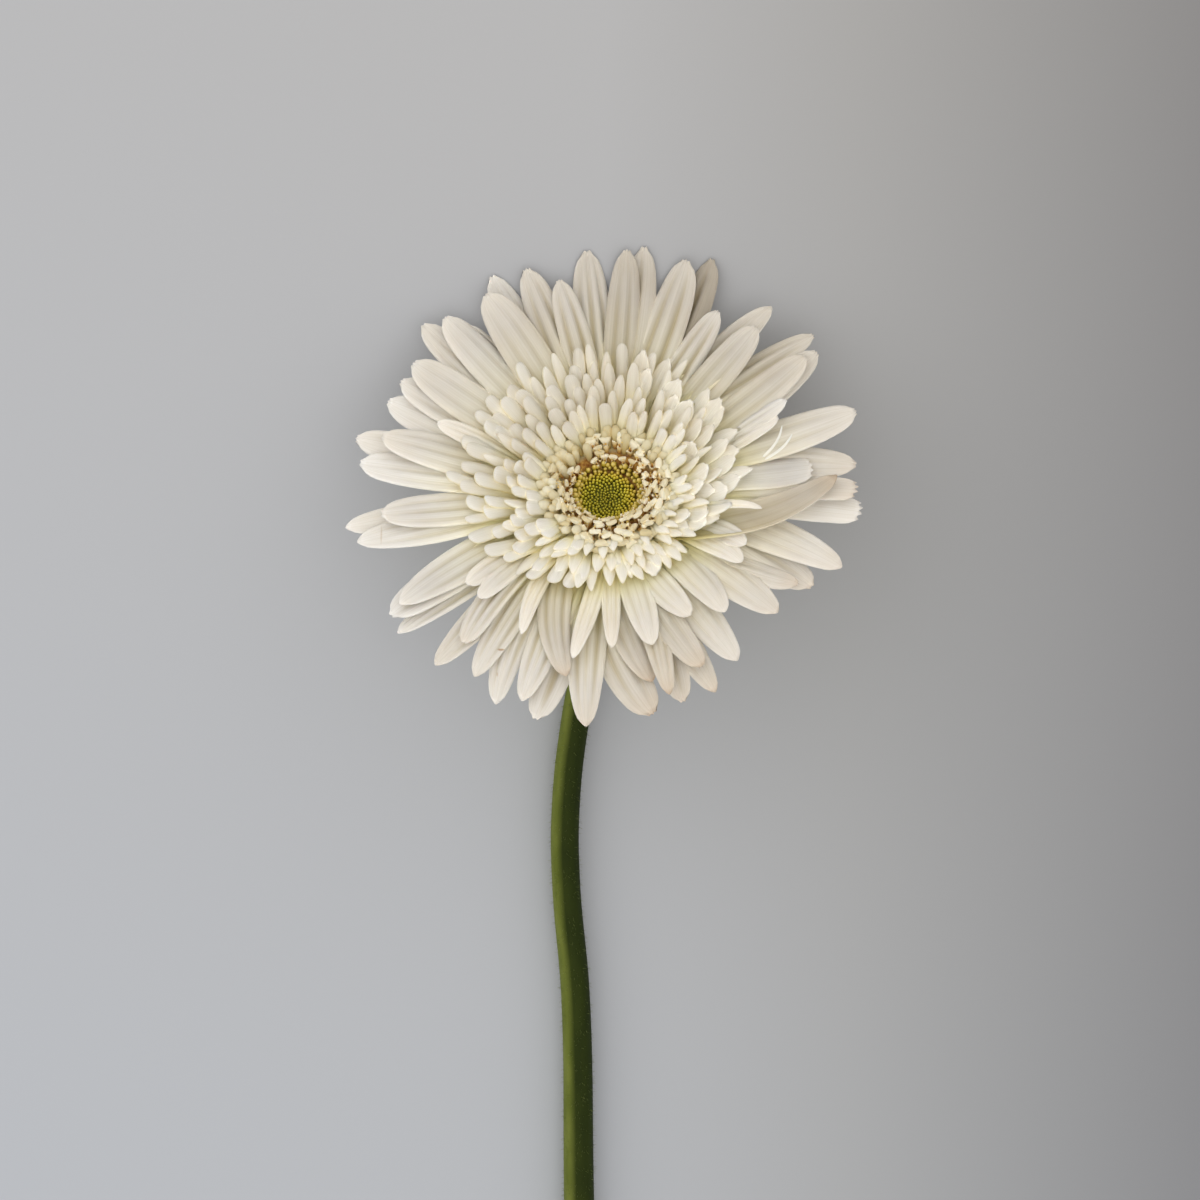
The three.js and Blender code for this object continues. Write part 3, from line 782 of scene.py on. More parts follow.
def add_finger(clock, share, reach, stretch, rise, sway, swell):
    """Adds a finger to the copies. The share is 0 in the outermost row and 1 in the innermost.
    The rest is how far it reaches, how far its tip stretches beyond that and rises, how much it
    sways in degrees, and how wide it is for its row."""
    near_side = facing(clock, NEAR_SIDE)
    knee = between(TRANS_KNEE, share) * reach / between(TRANS_REACH, share)
    knee_height = between(TRANS_KNEE_HEIGHT, share) + KNEE_LIFT + lean(clock, knee) + NEAR_ARCH * near_side
    tip_height = between(TRANS_TIP_HEIGHT, share) + lean(clock, reach) + rise - NEAR_DROP * near_side
    line = arc(clock, math.radians(sway), (TRANS_ROOT, between(TRANS_ROOT_HEIGHT, share)),
               (knee, knee_height), (reach + stretch, tip_height))
    chance = whim.random()
    if chance < by_side(clock, FLAT_SIDE) * (1 - share):
        pattern, wide = flat_finger, FLAT_WIDE
    elif whim.random() < by_side(clock, POINTED_FINGER_SIDE):
        pattern, wide = pointed_finger, 1
    elif chance < ROUND_CHANCE + by_side(clock, *ROUND_SIDES):
        pattern, wide = round_finger, ROUND_WIDE + by_side(clock, ROUNDEST_SIDE)
    else:
        pattern, wide = slim_finger, SLIM_WIDE
    points = bent(pattern, line, between(TRANS_WIDTH, share) * swell * wide, arch=FINGER_ARCH,
                  roll=math.radians(whim.uniform(*FINGER_ROLL)),
                  hook=whim.uniform(*FINGER_HOOK) + by_side(clock, HOOKED_SIDE))
    tone = whim.uniform(*FINGER_TONE) + by_side(clock, SHADED_SIDE)
    copies.append(Copy(pattern, on_table(points), clamped(tone)))


# %% [markdown]
# First the rows are planted, without the fingers that would run into a neighbour. Then places
# are tried at random, and those that are free get a finger too.

# %% Plant the fringe
def is_free(tip, distance):
    return all(np.linalg.norm(tip - other) > distance for other in tips)


copies, tips = [], []
for row in range(TRANS_ROWS):
    share = row / (TRANS_ROWS - 1)
    count = round(between(TRANS_COUNT, share))
    for i in range(count):
        clock = (i + (row % 2) / 2 + draw(-0.22, 0.22) + whim.uniform(-0.2, 0.2)) * 2 * math.pi / count
        short_side = facing(clock, -70)
        reach = between((fringe_reach(clock), TRANS_REACH[1] - 0.6 * short_side), share) + draw(-1.1, 1.1)
        rise = draw(-0.3, 0.5)
        swell = draw(0.85, 1.2)
        sway = draw(-3, 3) + whim.uniform(-6, 6)
        stretch = whim.uniform(-1.8, 1.6) * min(1, 1.4 - share) * (1 - 0.6 * short_side)
        rise += whim.uniform(-0.5, 1.0)
        tip = polar(np.array(clock), reach + stretch, 0)
        if is_free(tip, CROWDING):
            tips.append(tip)
            add_finger(clock, share, reach, stretch, rise, sway, swell)
print("the rows have", len(copies), "fingers")

for _ in range(FILL_TRIES):
    clock = whim.uniform(0, 2 * math.pi)
    edge = fringe_reach(clock)
    reach = whim.uniform(TRANS_REACH[1], edge + 0.5)
    tip = polar(np.array(clock), reach, 0)
    if is_free(tip, TIP_SPACING + by_side(clock, *SPACING_SIDES)):
        tips.append(tip)
        share = clamped((edge - reach) / (edge - TRANS_REACH[1]))
        add_finger(clock, share, reach, 0, rise=whim.uniform(-1.4, 0), sway=whim.uniform(-8, 8),
                   swell=whim.uniform(0.8, 1.1))
fingers = stamped("finger_petals", copies)

# %% [markdown]
# Two thin threads, strips that tore off the edge of a petal, stand out on the right. Each runs
# between two points that were read off the picture.

# %% Threads
THREADS = [((34.2, 6.7), (38.7, 14.0)), ((34.6, 6.2), (40.9, 12.0))]
THREAD_HEIGHT = 5.5
THREAD_BULGE = np.array((0.88, -0.55, 0.44))
THREAD_LENGTH = 10.0
THREAD_WIDTH = 0.6
THREAD_STATIONS = [(0, 0.28, 0.1), (3, 0.24, 0.1), (7, 0.2, 0.09), (9.4, 0.12, 0.06), (10, 0.03, 0.03)]
thread = mapped(ringed("thread", 6, THREAD_STATIONS, smooth=1), THREAD_WIDTH, 0, THREAD_LENGTH, axis=1)
thread = Pattern(thread, THREAD_WIDTH, THREAD_LENGTH)


def thread_end(right, up):
    clock, radius = tip_seen_at(right, up, lambda clock, radius: THREAD_HEIGHT)
    return polar(np.array(clock), np.array(radius), THREAD_HEIGHT)


copies = []
for root, tip in THREADS:
    start, stop = thread_end(*root), thread_end(*tip)

    def line(at):
        at = np.asarray(at)[:, None]
        return start + (stop - start) * at + THREAD_BULGE * np.sin(math.pi * np.clip(at, -0.1, 1.1))

    copies.append(Copy(thread, on_table(bent(thread, line, 1.0)), 1.0))
threads = stamped("threads", copies)

# %% [markdown]
# ## Open disc florets
# Round the green middle stand small two-lipped florets. Each is a short tube whose outer rim
# grows into a tongue that curls outwards and whose inner rim grows into two short lips. A brown
# column of anthers with gold pollen stands in it. Most of the outer rings are still closed: round
# cream knobs.

# %% Patterns of the disc
TUBE_SIDES = 8
TUBE_RADIUS = 0.36
TUBE_FOOT = -2.2
TUBE_RIM = -0.1


def lipped_floret():
    """An open floret along +z whose tongue curls towards +y."""
    clear_selection()
    bpy.ops.mesh.primitive_circle_add(vertices=TUBE_SIDES, radius=TUBE_RADIUS, fill_type="NOTHING",
                                      location=(0, 0, TUBE_FOOT))
    thing = bpy.context.object
    thing.name = "lipped_floret"
    bpy.ops.object.transform_apply(location=True)
    edit(True)
    bpy.ops.mesh.select_all(action="SELECT")

    def grow(push, climb, across, along=1):
        bpy.ops.mesh.extrude_edges_move(TRANSFORM_OT_translate={"value": (0, push, climb)})
        bpy.ops.transform.resize(value=(across, along, 1), center_override=(0, 0, 0))

    for rise, wider in [(1.2, 1.15), (0.9, 1.3)]:
        grow(0, rise, wider, wider)
    pick(lambda point: point.z > TUBE_RIM - 0.05 and point.y > 0.15)
    for step in [(0.2, 0.7, 2.4), (0.3, 0.5, 1.35), (0.5, 0.0, 1.12), (0.4, -0.5, 0.85)]:
        grow(*step)
    pick(lambda point: abs(point.z - TUBE_RIM) < 0.05 and point.y < -0.15)
    for step in [(-0.12, 0.45, 0.85), (-0.35, 0.15, 0.6)]:
        grow(*step)
    edit(False)
    finish_with("SOLIDIFY", thickness=0.26, offset=0)
    finish_with("SUBSURF", levels=1, render_levels=1)
    return thing


def upright(thing):
    """Turns a body drawn along +y so that it stands along +z."""
    thing.rotation_euler.x = math.pi / 2
    bpy.ops.object.transform_apply(rotation=True)
    return thing


def upright_pattern(name, sides, stations, width, low, high, smooth=0):
    return Pattern(mapped(upright(ringed(name, sides, stations, smooth)), width, low, high))


KNOB_STATIONS = [
    (-3.0, 0.6), (-1.2, 0.85), (-0.2, 1.05, 1.08), (0.7, 1.06, 1.12), (1.4, 0.82, 0.86), (1.75, 0.4, 0.42),
]
COLUMN_STATIONS = [(-1.5, 0.16), (0.2, 0.2), (0.55, 0.22), (0.7, 0.1)]
GRAIN_STATIONS = [(-0.14, 0.08), (0, 0.15), (0.14, 0.08)]
lipped = Pattern(mapped(lipped_floret(), 1.6, TUBE_FOOT, 0.6))
knob = upright_pattern("knob", 8, KNOB_STATIONS, 1.8, -2.6, 0.9, smooth=1)
column = upright_pattern("anther_column", 6, COLUMN_STATIONS, 0.5, -1.5, 0.7)
grain = upright_pattern("pollen_grain", 5, GRAIN_STATIONS, 0.3, -0.14, 0.14)

# %% [markdown]
# A small rule stands each pattern on the disc: it faces outwards, leans as its ring does, and
# may be turned a little about its own axis.

# %% Stand a floret on the disc
def stood(pattern, clock, radius, height, lean_out, size=1.0, turn=0.0, tone=1.0, beside=(0, 0, 0)):
    """A copy that stands at a place of the disc, or beside it, faces outwards and leans out."""
    turned = Matrix.Rotation(clock - math.pi / 2, 3, "Z") @ Matrix.Rotation(-lean_out, 3, "X")
    turned = np.array(turned @ Matrix.Rotation(turn, 3, "Z"))
    points = (pattern.points * size) @ turned.T + polar(np.array(clock), radius, height) + beside
    return Copy(pattern, on_table(points), tone)


# %% [markdown]
# Seven rings stand round the middle, from small florets that lean inwards to large ones that
# lie almost flat. Most of the inner ones are open and most of the outer ones are knobs.

# %% Plant the disc
# Radius, height, lean outwards in degrees, number, share of open florets and size of each ring.
DISC_RINGS = [
    (7.9, -1.3, -26, 24, 6.0, 0.75),
    (8.7, -0.5, -18, 24, 6.0, 0.85),
    (9.7, 0.1, -6, 26, 4.0, 0.95),
    (10.9, 0.6, 10, 28, 2.0, 1.05),
    (12.1, 0.9, 24, 28, 0.75, 1.05),
    (13.2, 0.8, 40, 32, 0.4, 1.05),
    (14.3, 0.2, 56, 34, 0.12, 1.15),
]
POLLEN_EDGE = 11.2
# Only florets above this tone have a column.
COLUMN_TONE = 0.35
# The inner rings are lifted on the near side.
NEAR_LIFT = 1.0
LIFT_EDGE = 10.5
# They have gaps at the top, through which the brown bed is seen.
GAP_EDGE = 10
GAP_SIDE = (95, 0.75, 1)
# More are open on one side, and the knobs of the far side get a lower tone: painted shade.
OPEN_SIDE = math.radians(-50)
OPEN_SWING = 0.8
OPEN_NEAR_SIDE = (-75, 0.8, 2)
SHADED_KNOB_SIDE = (90, -0.75, 1)

lips, knobs, columns, grains = [], [], [], []
for radius, height, lean_out, count, open_share, size in DISC_RINGS:
    offset = whim.random()
    for i in range(count):
        clock = (i + offset + whim.uniform(-0.3, 0.3)) * 2 * math.pi / count
        lifted = NEAR_LIFT * facing(clock, NEAR_SIDE) * clamped(LIFT_EDGE - radius)
        place = (clock, radius + whim.uniform(-0.35, 0.35), height + lifted + whim.uniform(-0.3, 0.25))
        tilt = math.radians(lean_out + whim.uniform(-14, 14))
        turn = math.radians(whim.uniform(-32, 32))
        scale = size * whim.uniform(0.85, 1.15)
        tone = whim.random()
        if radius < GAP_EDGE and whim.random() < by_side(clock, GAP_SIDE):
            continue
        chance = open_share * (1 + OPEN_SWING * math.cos(clock - OPEN_SIDE))
        if whim.random() < chance + by_side(clock, OPEN_NEAR_SIDE):
            lips.append(stood(lipped, *place, tilt, scale, turn, tone))
            if radius < POLLEN_EDGE and tone > COLUMN_TONE:
                columns.append(stood(column, *place, tilt / 2, scale, 0, tone))
            for _ in range(2 if radius < POLLEN_EDGE else 0):
                spot = (clock + whim.uniform(-0.05, 0.05), radius + whim.uniform(-0.5, 0.5),
                        height + whim.uniform(0.5, 1.15))
                grains.append(stood(grain, *spot, 0, whim.uniform(0.7, 1.2), 0, tone))
        else:
            tone *= 1 + by_side(clock, SHADED_KNOB_SIDE)
            knobs.append(stood(knob, *place, tilt, scale, turn, tone))
disc_lips = stamped("disc_lips", lips)
disc_knobs = stamped("disc_knobs", knobs)
anther_columns = stamped("anther_columns", columns)
pollen = stamped("pollen", grains)

# %% [markdown]
# ## The green middle
# The youngest florets are still closed. They follow the sunflower's rule, each turned from the
# last by the golden angle, and they are finer towards the middle. They lie in a shallow hollow
# below the open ones, so that the near side of the ring hides a part of them.

# %% Buds
BUD_NUMBER = 260
BUD_FIELD = 6.9
BUD_POWER = 0.58
# In the middle and at the edge.
BUD_SIZES = (0.62, 1.12)
GOLDEN = math.pi * (3 - math.sqrt(5))
FIELD_EDGE_HEIGHT = -3.7
FIELD_DIMPLE = 0.6
# The field isn't quite in the middle.
FIELD_SHIFT = (-1.0, -0.2, 0)
BUD_STATIONS = [(-0.8, 0.36), (0.0, 0.42), (0.42, 0.34), (0.68, 0.14)]
bud = upright_pattern("bud", 6, BUD_STATIONS, 0.9, -0.8, 0.68)
copies = []
for k in range(BUD_NUMBER):
    share = (k + 0.5) / BUD_NUMBER
    radius = BUD_FIELD * share**BUD_POWER
    height = FIELD_EDGE_HEIGHT - FIELD_DIMPLE * (1 - (radius / BUD_FIELD) ** 2)
    tilt = math.radians(-10 * share + whim.uniform(-8, 8))
    clock = k * GOLDEN + whim.uniform(-0.12, 0.12) / max(radius, 0.5)
    place = (clock, radius + whim.uniform(-0.1, 0.1), height + whim.uniform(-0.15, 0.15))
    size = between(BUD_SIZES, share) * whim.uniform(0.88, 1.12)
    copies.append(stood(bud, *place, tilt, size, tone=share, beside=FIELD_SHIFT))
# Two rings of larger, yellower ones climb towards the open florets: radius, height and size.
BUD_RINGS = [(6.9, -3.2, 1.3), (7.6, -2.3, 1.6)]
BUDS_PER_RING = 38
for radius, height, size in BUD_RINGS:
    for i in range(BUDS_PER_RING):
        clock = (i + whim.uniform(-0.3, 0.3)) * 2 * math.pi / BUDS_PER_RING
        place = (clock, radius + whim.uniform(-0.2, 0.2), height + whim.uniform(-0.3, 0.3))
        tilt = math.radians(whim.uniform(-35, -5))
        copies.append(stood(bud, *place, tilt, size * whim.uniform(0.8, 1.2)))
buds = stamped("disc_buds", copies)

# %% [markdown]
# ## The bed under it all
# A real head grows on one fleshy receptacle. It is drawn as a turned body: a dished top that
# carries buds and florets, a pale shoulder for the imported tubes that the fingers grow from, a
# waist where the long petals leave, and the green cup underneath.

# %% Receptacle and cup
def turned_body(name, sides, stations):
    """A round body about the face's axis. Stations are (height, radius) in mm."""
    thing = upright(ringed(name, sides, stations))
    points = on_table(read(thing.data.vertices, "co", 3))
    thing.data.vertices.foreach_set("co", points.ravel())
    thing.data.update()
    thing.data.shade_smooth()
    print(name, "has", len(points), "points")
    return thing


receptacle = turned_body("receptacle", 48, [
    (-13.7, 10.4), (-12.5, 10.9), (-9.0, 11.0), (-7.5, 13.5), (-5.6, 17.0), (-4.5, 18.2), (-3.9, 17.2),
    (-3.3, 14.8), (-2.7, 12.8), (-2.0, 11.5), (-1.8, 10.2), (-2.4, 8.8),
    (-3.6, 7.9), (-4.3, 7.4), (-4.7, 4.0), (-4.8, 0.2),
])
cup = turned_body("cup", 48, [
    (-24.1, 3.6), (-23.8, 4.6), (-22.6, 6.7), (-21.0, 8.3), (-19.4, 9.5), (-17.6, 10.5), (-16.0, 11.1),
    (-14.4, 11.3), (-13.6, 11.0), (-13.4, 9.0),
])

# %% [markdown]
# ## Bracts
# The cup is covered by pointed green bracts in overlapping rows, like tiles. They are straps
# with a keel instead of furrows.

# %% Bracts
BRACT_OUTLINE = [(0, 0.75), (0.3, 0.98), (0.5, 1), (0.75, 0.72), (0.92, 0.32), (1, 0.1)]
bract = strap("bract", 3.8, 11.0, 6, 12, BRACT_OUTLINE, [(0, -0.3, 0.16)], (1, 0.0), (0.5, 0.2))
# Root, knee and tip as radius and height, then the width of a bract.
BRACT_ROWS = [
    (6.4, -22.4, 11.2, -20.4, 12.9, -15.0, 3.9),
    (9.0, -19.0, 13.0, -16.4, 15.6, -13.3, 3.5),
]
BRACTS_PER_ROW = 14
BRACT_OVERLAP = 1.15
copies = []
for row, (root_r, root_z, knee_r, knee_z, tip_r, tip_z, width) in enumerate(BRACT_ROWS):
    for i in range(BRACTS_PER_ROW):
        clock = (i + row / 2 + whim.uniform(-0.08, 0.08)) * 2 * math.pi / BRACTS_PER_ROW
        line = arc(clock, 0, (root_r, root_z), (knee_r, knee_z), (tip_r + whim.uniform(-0.5, 0.2), tip_z))
        points = bent(bract, line, width * BRACT_OVERLAP, arch=0.35, roll=math.radians(whim.uniform(-6, 6)))
        copies.append(Copy(bract, on_table(points), whim.random()))
bracts = stamped("bracts", copies)

# %% [markdown]
# ## The stem
# A gerbera's stem is one leafless stalk. It leaves the cup at a right angle to the face, bends
# down to the table and runs on almost straight, a little thicker towards the foot, where it was
# cut at a slant. A curve with a round bevel and a radius at each point is the simplest way to
# draw it. It is then made a mesh, cut by a plane, and its foot is hollowed.

# %% Stem
STEM_TOP = -24.4
NECK_LENGTH = 1.2
STEM_LINE = [
    (1.5, -19.3, 9.2),
    (1.0, -23.6, 6.9),
    (-0.2, -28.6, 5.6),
    (-1.9, -34.6, 5.1),
    (-4.8, -45, 5.0),
    (-7.8, -60, 5.0),
    (-9.8, -80, 5.0),
    (-9.7, -96, 5.0),
    (-7.5, -124, 4.9),
    (-6.8, -168, 4.8),
    (-6.2, -230, 4.6),
    (-4.6, -290, 4.4),
    (-2.4, -352, 4.2),
]
STEM_RADII = [4.1, 3.3, 3.3, 3.45, 3.65, 3.85, 4.0, 4.1, 4.2]
CUT_SLANT = math.radians(30)
CUT_SPARE = 6.0
WALL = 1.1
HOLLOW_DEPTH = 7.0

neck = [np.array(FACE_MIDDLE) + TURN @ (0, 0, height) for height in (STEM_TOP, STEM_TOP - NECK_LENGTH)]
route = neck + [np.array((FACE_MIDDLE.x + x, FACE_MIDDLE.y + y, z)) for x, y, z in STEM_LINE]
spare = route[-1] + (route[-1] - route[-2]) * CUT_SPARE / np.linalg.norm(route[-1] - route[-2])
lengths = np.concatenate([[0], np.cumsum([np.linalg.norm(b - a) for a, b in zip(route, route[1:])])])
clear_selection()
bpy.ops.curve.primitive_bezier_curve_add()
stem = bpy.context.object
stem.name = "stem_skin"
spline = stem.data.splines[0]
spline.bezier_points.add(len(route) - 1)
for point, place, length in zip(spline.bezier_points, route + [spare], [*lengths, lengths[-1]]):
    share = length / lengths[-1] * (len(STEM_RADII) - 1)
    point.co = place
    point.radius = float(np.interp(share, range(len(STEM_RADII)), STEM_RADII))
    point.handle_left_type = point.handle_right_type = "AUTO"
spline.resolution_u = 10
stem.data.bevel_depth = 1.0
stem.data.bevel_resolution = 4
stem.data.use_fill_caps = True
bpy.ops.object.convert(target="MESH")
stem = bpy.context.object
print("stem is", round(float(lengths[-1])), "mm long")

# %% [markdown]
# The foot is cut by a plane. The new face is inset to leave a wall, and the middle is pushed in,
# because a gerbera's stem is hollow where its pith has torn.

# %% Cut the foot and bring the stem to metres
foot = Vector(route[-1])
heading = (foot - Vector(route[-2])).normalized()
stem_up = heading.cross(Vector((1, 0, 0))).normalized()
stem_up *= 1 if stem_up.z > 0 else -1
edit(True)
pick(lambda point: (point - foot).dot(heading) > -20)
slant = heading - stem_up * math.tan(CUT_SLANT)
bpy.ops.mesh.bisect(plane_co=foot, plane_no=slant, use_fill=True, clear_outer=True)
bpy.ops.mesh.inset(thickness=WALL, depth=0)
bpy.ops.mesh.extrude_region_move(TRANSFORM_OT_translate={"value": -heading * HOLLOW_DEPTH})
bpy.ops.mesh.select_all(action="SELECT")
bpy.ops.transform.resize(value=(MM, MM, MM), center_override=(0, 0, 0))
edit(False)
stem.data.shade_smooth()
# Which way each point of the stem faces, from 0 towards the light at -X to 1 away from it, for painted
# light and shade.
painted_light_flank = read(stem.data.vertices, "normal", 3)[:, 0] / 2 + 0.5
stem.data.attributes.new("painted_light_flank", "FLOAT", "POINT").data.foreach_set("value", painted_light_flank)
print("stem_skin has", len(stem.data.polygons), "faces")

# %% [markdown]
# Fine hairs cover the stem. Each is a thin spike that stands out from a random point of the skin
# and leans towards the foot.

# %% Hairs of the stem
HAIR_NUMBER = 5200
HAIR_LENGTH = (0.5, 1.1)
HAIR_LOWEST = 0.25
HAIR_SPREAD = 0.25
HAIR_LEAN = Vector((0, -0.25, 0))
hair = upright_pattern("hair", 3, [(0, 0.035), (0.6, 0.022), (1.0, 0.006)], 0.1, 0, 1)
skin_faces = [face for face in stem.data.polygons if len(face.vertices) == 4]
# The cut may number the faces in another order each time, so they are sorted by their place.
skin_faces.sort(key=lambda face: [round(value, 6) for value in face.center])
areas = [face.area for face in skin_faces]
copies = []
for face in whim.choices(skin_faces, areas, k=HAIR_NUMBER):
    corners = [stem.data.vertices[k].co for k in face.vertices]
    u, v = whim.random(), whim.random()
    spot = corners[0].lerp(corners[1], u).lerp(corners[3].lerp(corners[2], u), v)
    stray = Vector([whim.gauss(0, HAIR_SPREAD) for _ in range(3)])
    towards = (face.normal + HAIR_LEAN + stray).normalized()
    size = whim.uniform(*HAIR_LENGTH)
    turned = np.array(towards.to_track_quat("Z", "Y").to_matrix())
    points = (hair.points * size @ turned.T) * MM + np.array(spot)
    if points[:, 2].min() > HAIR_LOWEST * MM:
        copies.append(Copy(hair, points, whim.random()))
stem_hairs = stamped("stem_hairs", copies)

# %% [markdown]
# ## Finishes
# A paint is a material whose colour is built up step by step. Each step adds its nodes in one
# line, and an input of a node takes a number or the output of another.

# %% The paint tool
WHITE = (1, 1, 1)
EVEN = (1, 1, 1)


class Paint:
    """A material, the tree of its nodes and the inputs of its shader."""

    def __init__(self, name, roughness, specular=0.4):
        self.material = bpy.data.materials.new(name)
        self.material.use_nodes = True
        self.tree = self.material.node_tree
        self.shader = self.tree.nodes["Principled BSDF"].inputs
        self.shader["Roughness"].default_value = roughness
        self.shader["Specular IOR Level"].default_value = specular
        self.place = self.node("ShaderNodeTexCoord")
        print("paint", name)

    def feed(self, socket, value):
        if isinstance(value, bpy.types.NodeSocket):
            self.tree.links.new(value, socket)
        else:
            socket.default_value = value

    def node(self, kind, inputs=None, **settings):
        """Adds a node and returns its outputs."""
        made = self.tree.nodes.new(kind)
        for key, value in settings.items():
            setattr(made, key, value)
        for key, value in (inputs or {}).items():
            self.feed(made.inputs[key], value)
        return made.outputs

    def axis(self, vector, letter):
        return self.node("ShaderNodeSeparateXYZ", {0: vector})[letter]

    def attribute(self, name):
        return self.node("ShaderNodeAttribute", attribute_name=name)["Fac"]

    def vector(self, operation, first, second=(0, 0, 0)):
        return self.node("ShaderNodeVectorMath", {0: first, 1: second}, operation=operation)

    def share(self, value, start, stop):
        """The value's share of the way from start to stop."""
        return self.node("ShaderNodeMapRange", {"Value": value, "From Min": start, "From Max": stop})[0]

    def noise(self, vector, stretch, scale, detail):
        """Noise on the piece's own map or on its place, stretched along an axis."""
        mapping = self.node("ShaderNodeMapping", {"Vector": vector, "Scale": stretch})
        inputs = {"Vector": mapping[0], "Scale": scale, "Detail": detail}
        return self.node("ShaderNodeTexNoise", inputs)["Fac"]

    def ramp(self, source, stops):
        """A colour ramp from a value, with (place, colour) stops."""
        made = self.tree.nodes.new("ShaderNodeValToRGB")
        while len(made.color_ramp.elements) < len(stops):
            made.color_ramp.elements.new(0.5)
        for element, (place, color) in zip(made.color_ramp.elements, stops):
            element.position = place
            element.color = (*color, 1)
        self.feed(made.inputs[0], source)
        return made.outputs[0]

    def blend(self, kind, share, first, second):
        inputs = {0: share, 6: first, 7: second}
        return self.node("ShaderNodeMix", inputs, data_type="RGBA", blend_type=kind)[2]

    def coat(self, color):
        """Makes this the colour of the shader."""
        self.color = color
        self.feed(self.shader["Base Color"], color)

    def tint(self, source, stops, share=1.0):
        """Multiplies the colour by that of a ramp."""
        self.coat(self.blend("MULTIPLY", share, self.color, self.ramp(source, stops)))

    def bump(self, height, strength, distance):
        inputs = {"Height": height, "Strength": strength, "Distance": distance}
        self.feed(self.shader["Normal"], self.node("ShaderNodeBump", inputs)[0])

    def glow(self, weight, radius, depth):
        """Scatters light under the skin."""
        self.tree.nodes["Principled BSDF"].subsurface_method = "BURLEY"
        self.shader["Subsurface Weight"].default_value = weight
        self.shader["Subsurface Radius"].default_value = radius
        self.shader["Subsurface Scale"].default_value = depth


# %% [markdown]
# ## Petal white
# White petals aren't plain white: they are greenish yellow at the root, cream in the middle and
# faintly rosy beige at the tip, with fine lengthwise veins. They let light through, so the shader
# scatters a little of it under the skin.

# %% Petal finish
VEIN_STRETCH = (26, 1.2, 1)
VEIN_STOPS = [(0.3, (0.89, 0.875, 0.83)), (0.6, WHITE)]
PATCH_SCALE = 90
PATCH_STOPS = [(0.35, (0.96, 0.945, 0.92)), (0.65, WHITE)]
# A low tone darkens a petal or finger: partly its own tone, partly painted shade where tones are lowered on
# the shaded sides.
TONE_AND_SHADE_STOPS = [
    (0, (0.52, 0.475, 0.41)),
    (0.2, (0.79, 0.76, 0.71)),
    (0.75, (0.93, 0.925, 0.915)),
    (1, (0.95, 0.955, 0.965)),
]
# Tips in the lower half of the bloom have begun to dry, unless the petal is pale. In metres.
FRESH_ABOVE = 0.175
DRY_BELOW = 0.15
AGED_STOPS = [(0.3, WHITE), (0.8, (0, 0, 0))]
EDGE_STOPS = [(0.86, WHITE), (0.97, (0.92, 0.86, 0.8)), (1.0, (0.75, 0.62, 0.51))]
PETAL_GLOW = (1.0, 0.93, 0.8)


def petal_paint(name, stops, furrow_shade_stops, glow_depth):
    paint = Paint(name, 0.6, 0.2)
    along = paint.axis(paint.place["UV"], "Y")
    tone = paint.attribute("tone")
    veins = paint.noise(paint.place["UV"], VEIN_STRETCH, 1.0, 4)
    paint.coat(paint.ramp(along, stops))
    paint.tint(veins, VEIN_STOPS)
    paint.tint(paint.noise(paint.place["Object"], EVEN, PATCH_SCALE, 2), PATCH_STOPS)
    paint.tint(tone, TONE_AND_SHADE_STOPS)
    dry = paint.share(paint.axis(paint.place["Object"], "Y"), FRESH_ABOVE, DRY_BELOW)
    aged = paint.blend("MULTIPLY", 1.0, paint.ramp(tone, AGED_STOPS), dry)
    paint.tint(along, EDGE_STOPS, aged)
    # Painted shade in the furrows, and on the sides and undersides of the fingers.
    paint.tint(paint.attribute("relief"), furrow_shade_stops)
    paint.glow(1.0, PETAL_GLOW, glow_depth)
    paint.bump(veins, 0.25, 0.0002)
    return paint


petal_white = petal_paint("petal_white", [
    (0.0, (0.96, 0.94, 0.42)),
    (0.36, (0.96, 0.92, 0.58)),
    (0.54, (0.92, 0.885, 0.765)),
    (0.8, (0.83, 0.8, 0.765)),
    (1.0, (0.83, 0.805, 0.78)),
], [(0.0, (0.72, 0.67, 0.53)), (0.85, WHITE)], 0.0008)
finger_white = petal_paint("finger_white", [
    (0.0, (0.98, 0.91, 0.42)),
    (0.5, (0.97, 0.915, 0.64)),
    (0.72, (0.95, 0.92, 0.82)),
    (1.0, (0.925, 0.9, 0.855)),
], [(0.1, (0.95, 0.8, 0.36)), (0.5, (0.99, 0.94, 0.74)), (0.85, WHITE)], 0.0015)

# %% [markdown]
# Three blemishes: two brown bruises on petals at the lower left keep this flower a real one, and
# a thin darker line across one at the far left is painted shade of a crease. Each is a small tinted
# ellipsoid that reaches through the petals along the line of sight, placed as it is seen in the picture.

# %% Blemishes
# Right and up in the picture, half width and half height in mm, and the tint.
BLEMISHES = [
    (-23.8, -36.0, 1.0, 0.28, (0.66, 0.5, 0.36)),
    (-24.7, -41.8, 0.25, 0.6, (0.85, 0.76, 0.66)),
    # A thin line of painted shade where the petal is creased.
    (-50.4, -10.5, 0.25, 2.2, (0.87, 0.81, 0.74)),
]
BLEMISH_DEPTH = 6.0
BLEMISH_CORE = 0.45


def middle_shell(clock, radius):
    return ray_height(1, clock, radius)


for right, up, wide, high, tint in BLEMISHES:
    clock, radius = tip_seen_at(right, up, middle_shell)
    center = on_table(polar(np.array(clock), radius, middle_shell(clock, radius)))
    away = petal_white.vector("SUBTRACT", petal_white.place["Object"], center)[0]
    scaled = petal_white.vector("DIVIDE", away, (wide * MM, high * MM, BLEMISH_DEPTH * MM))[0]
    distance = petal_white.vector("LENGTH", scaled)["Value"]
    petal_white.tint(distance, [(BLEMISH_CORE, tint), (1.0, WHITE)])
    print("blemish at", round(math.degrees(clock)), "degrees,", round(radius, 1), "mm from the middle")
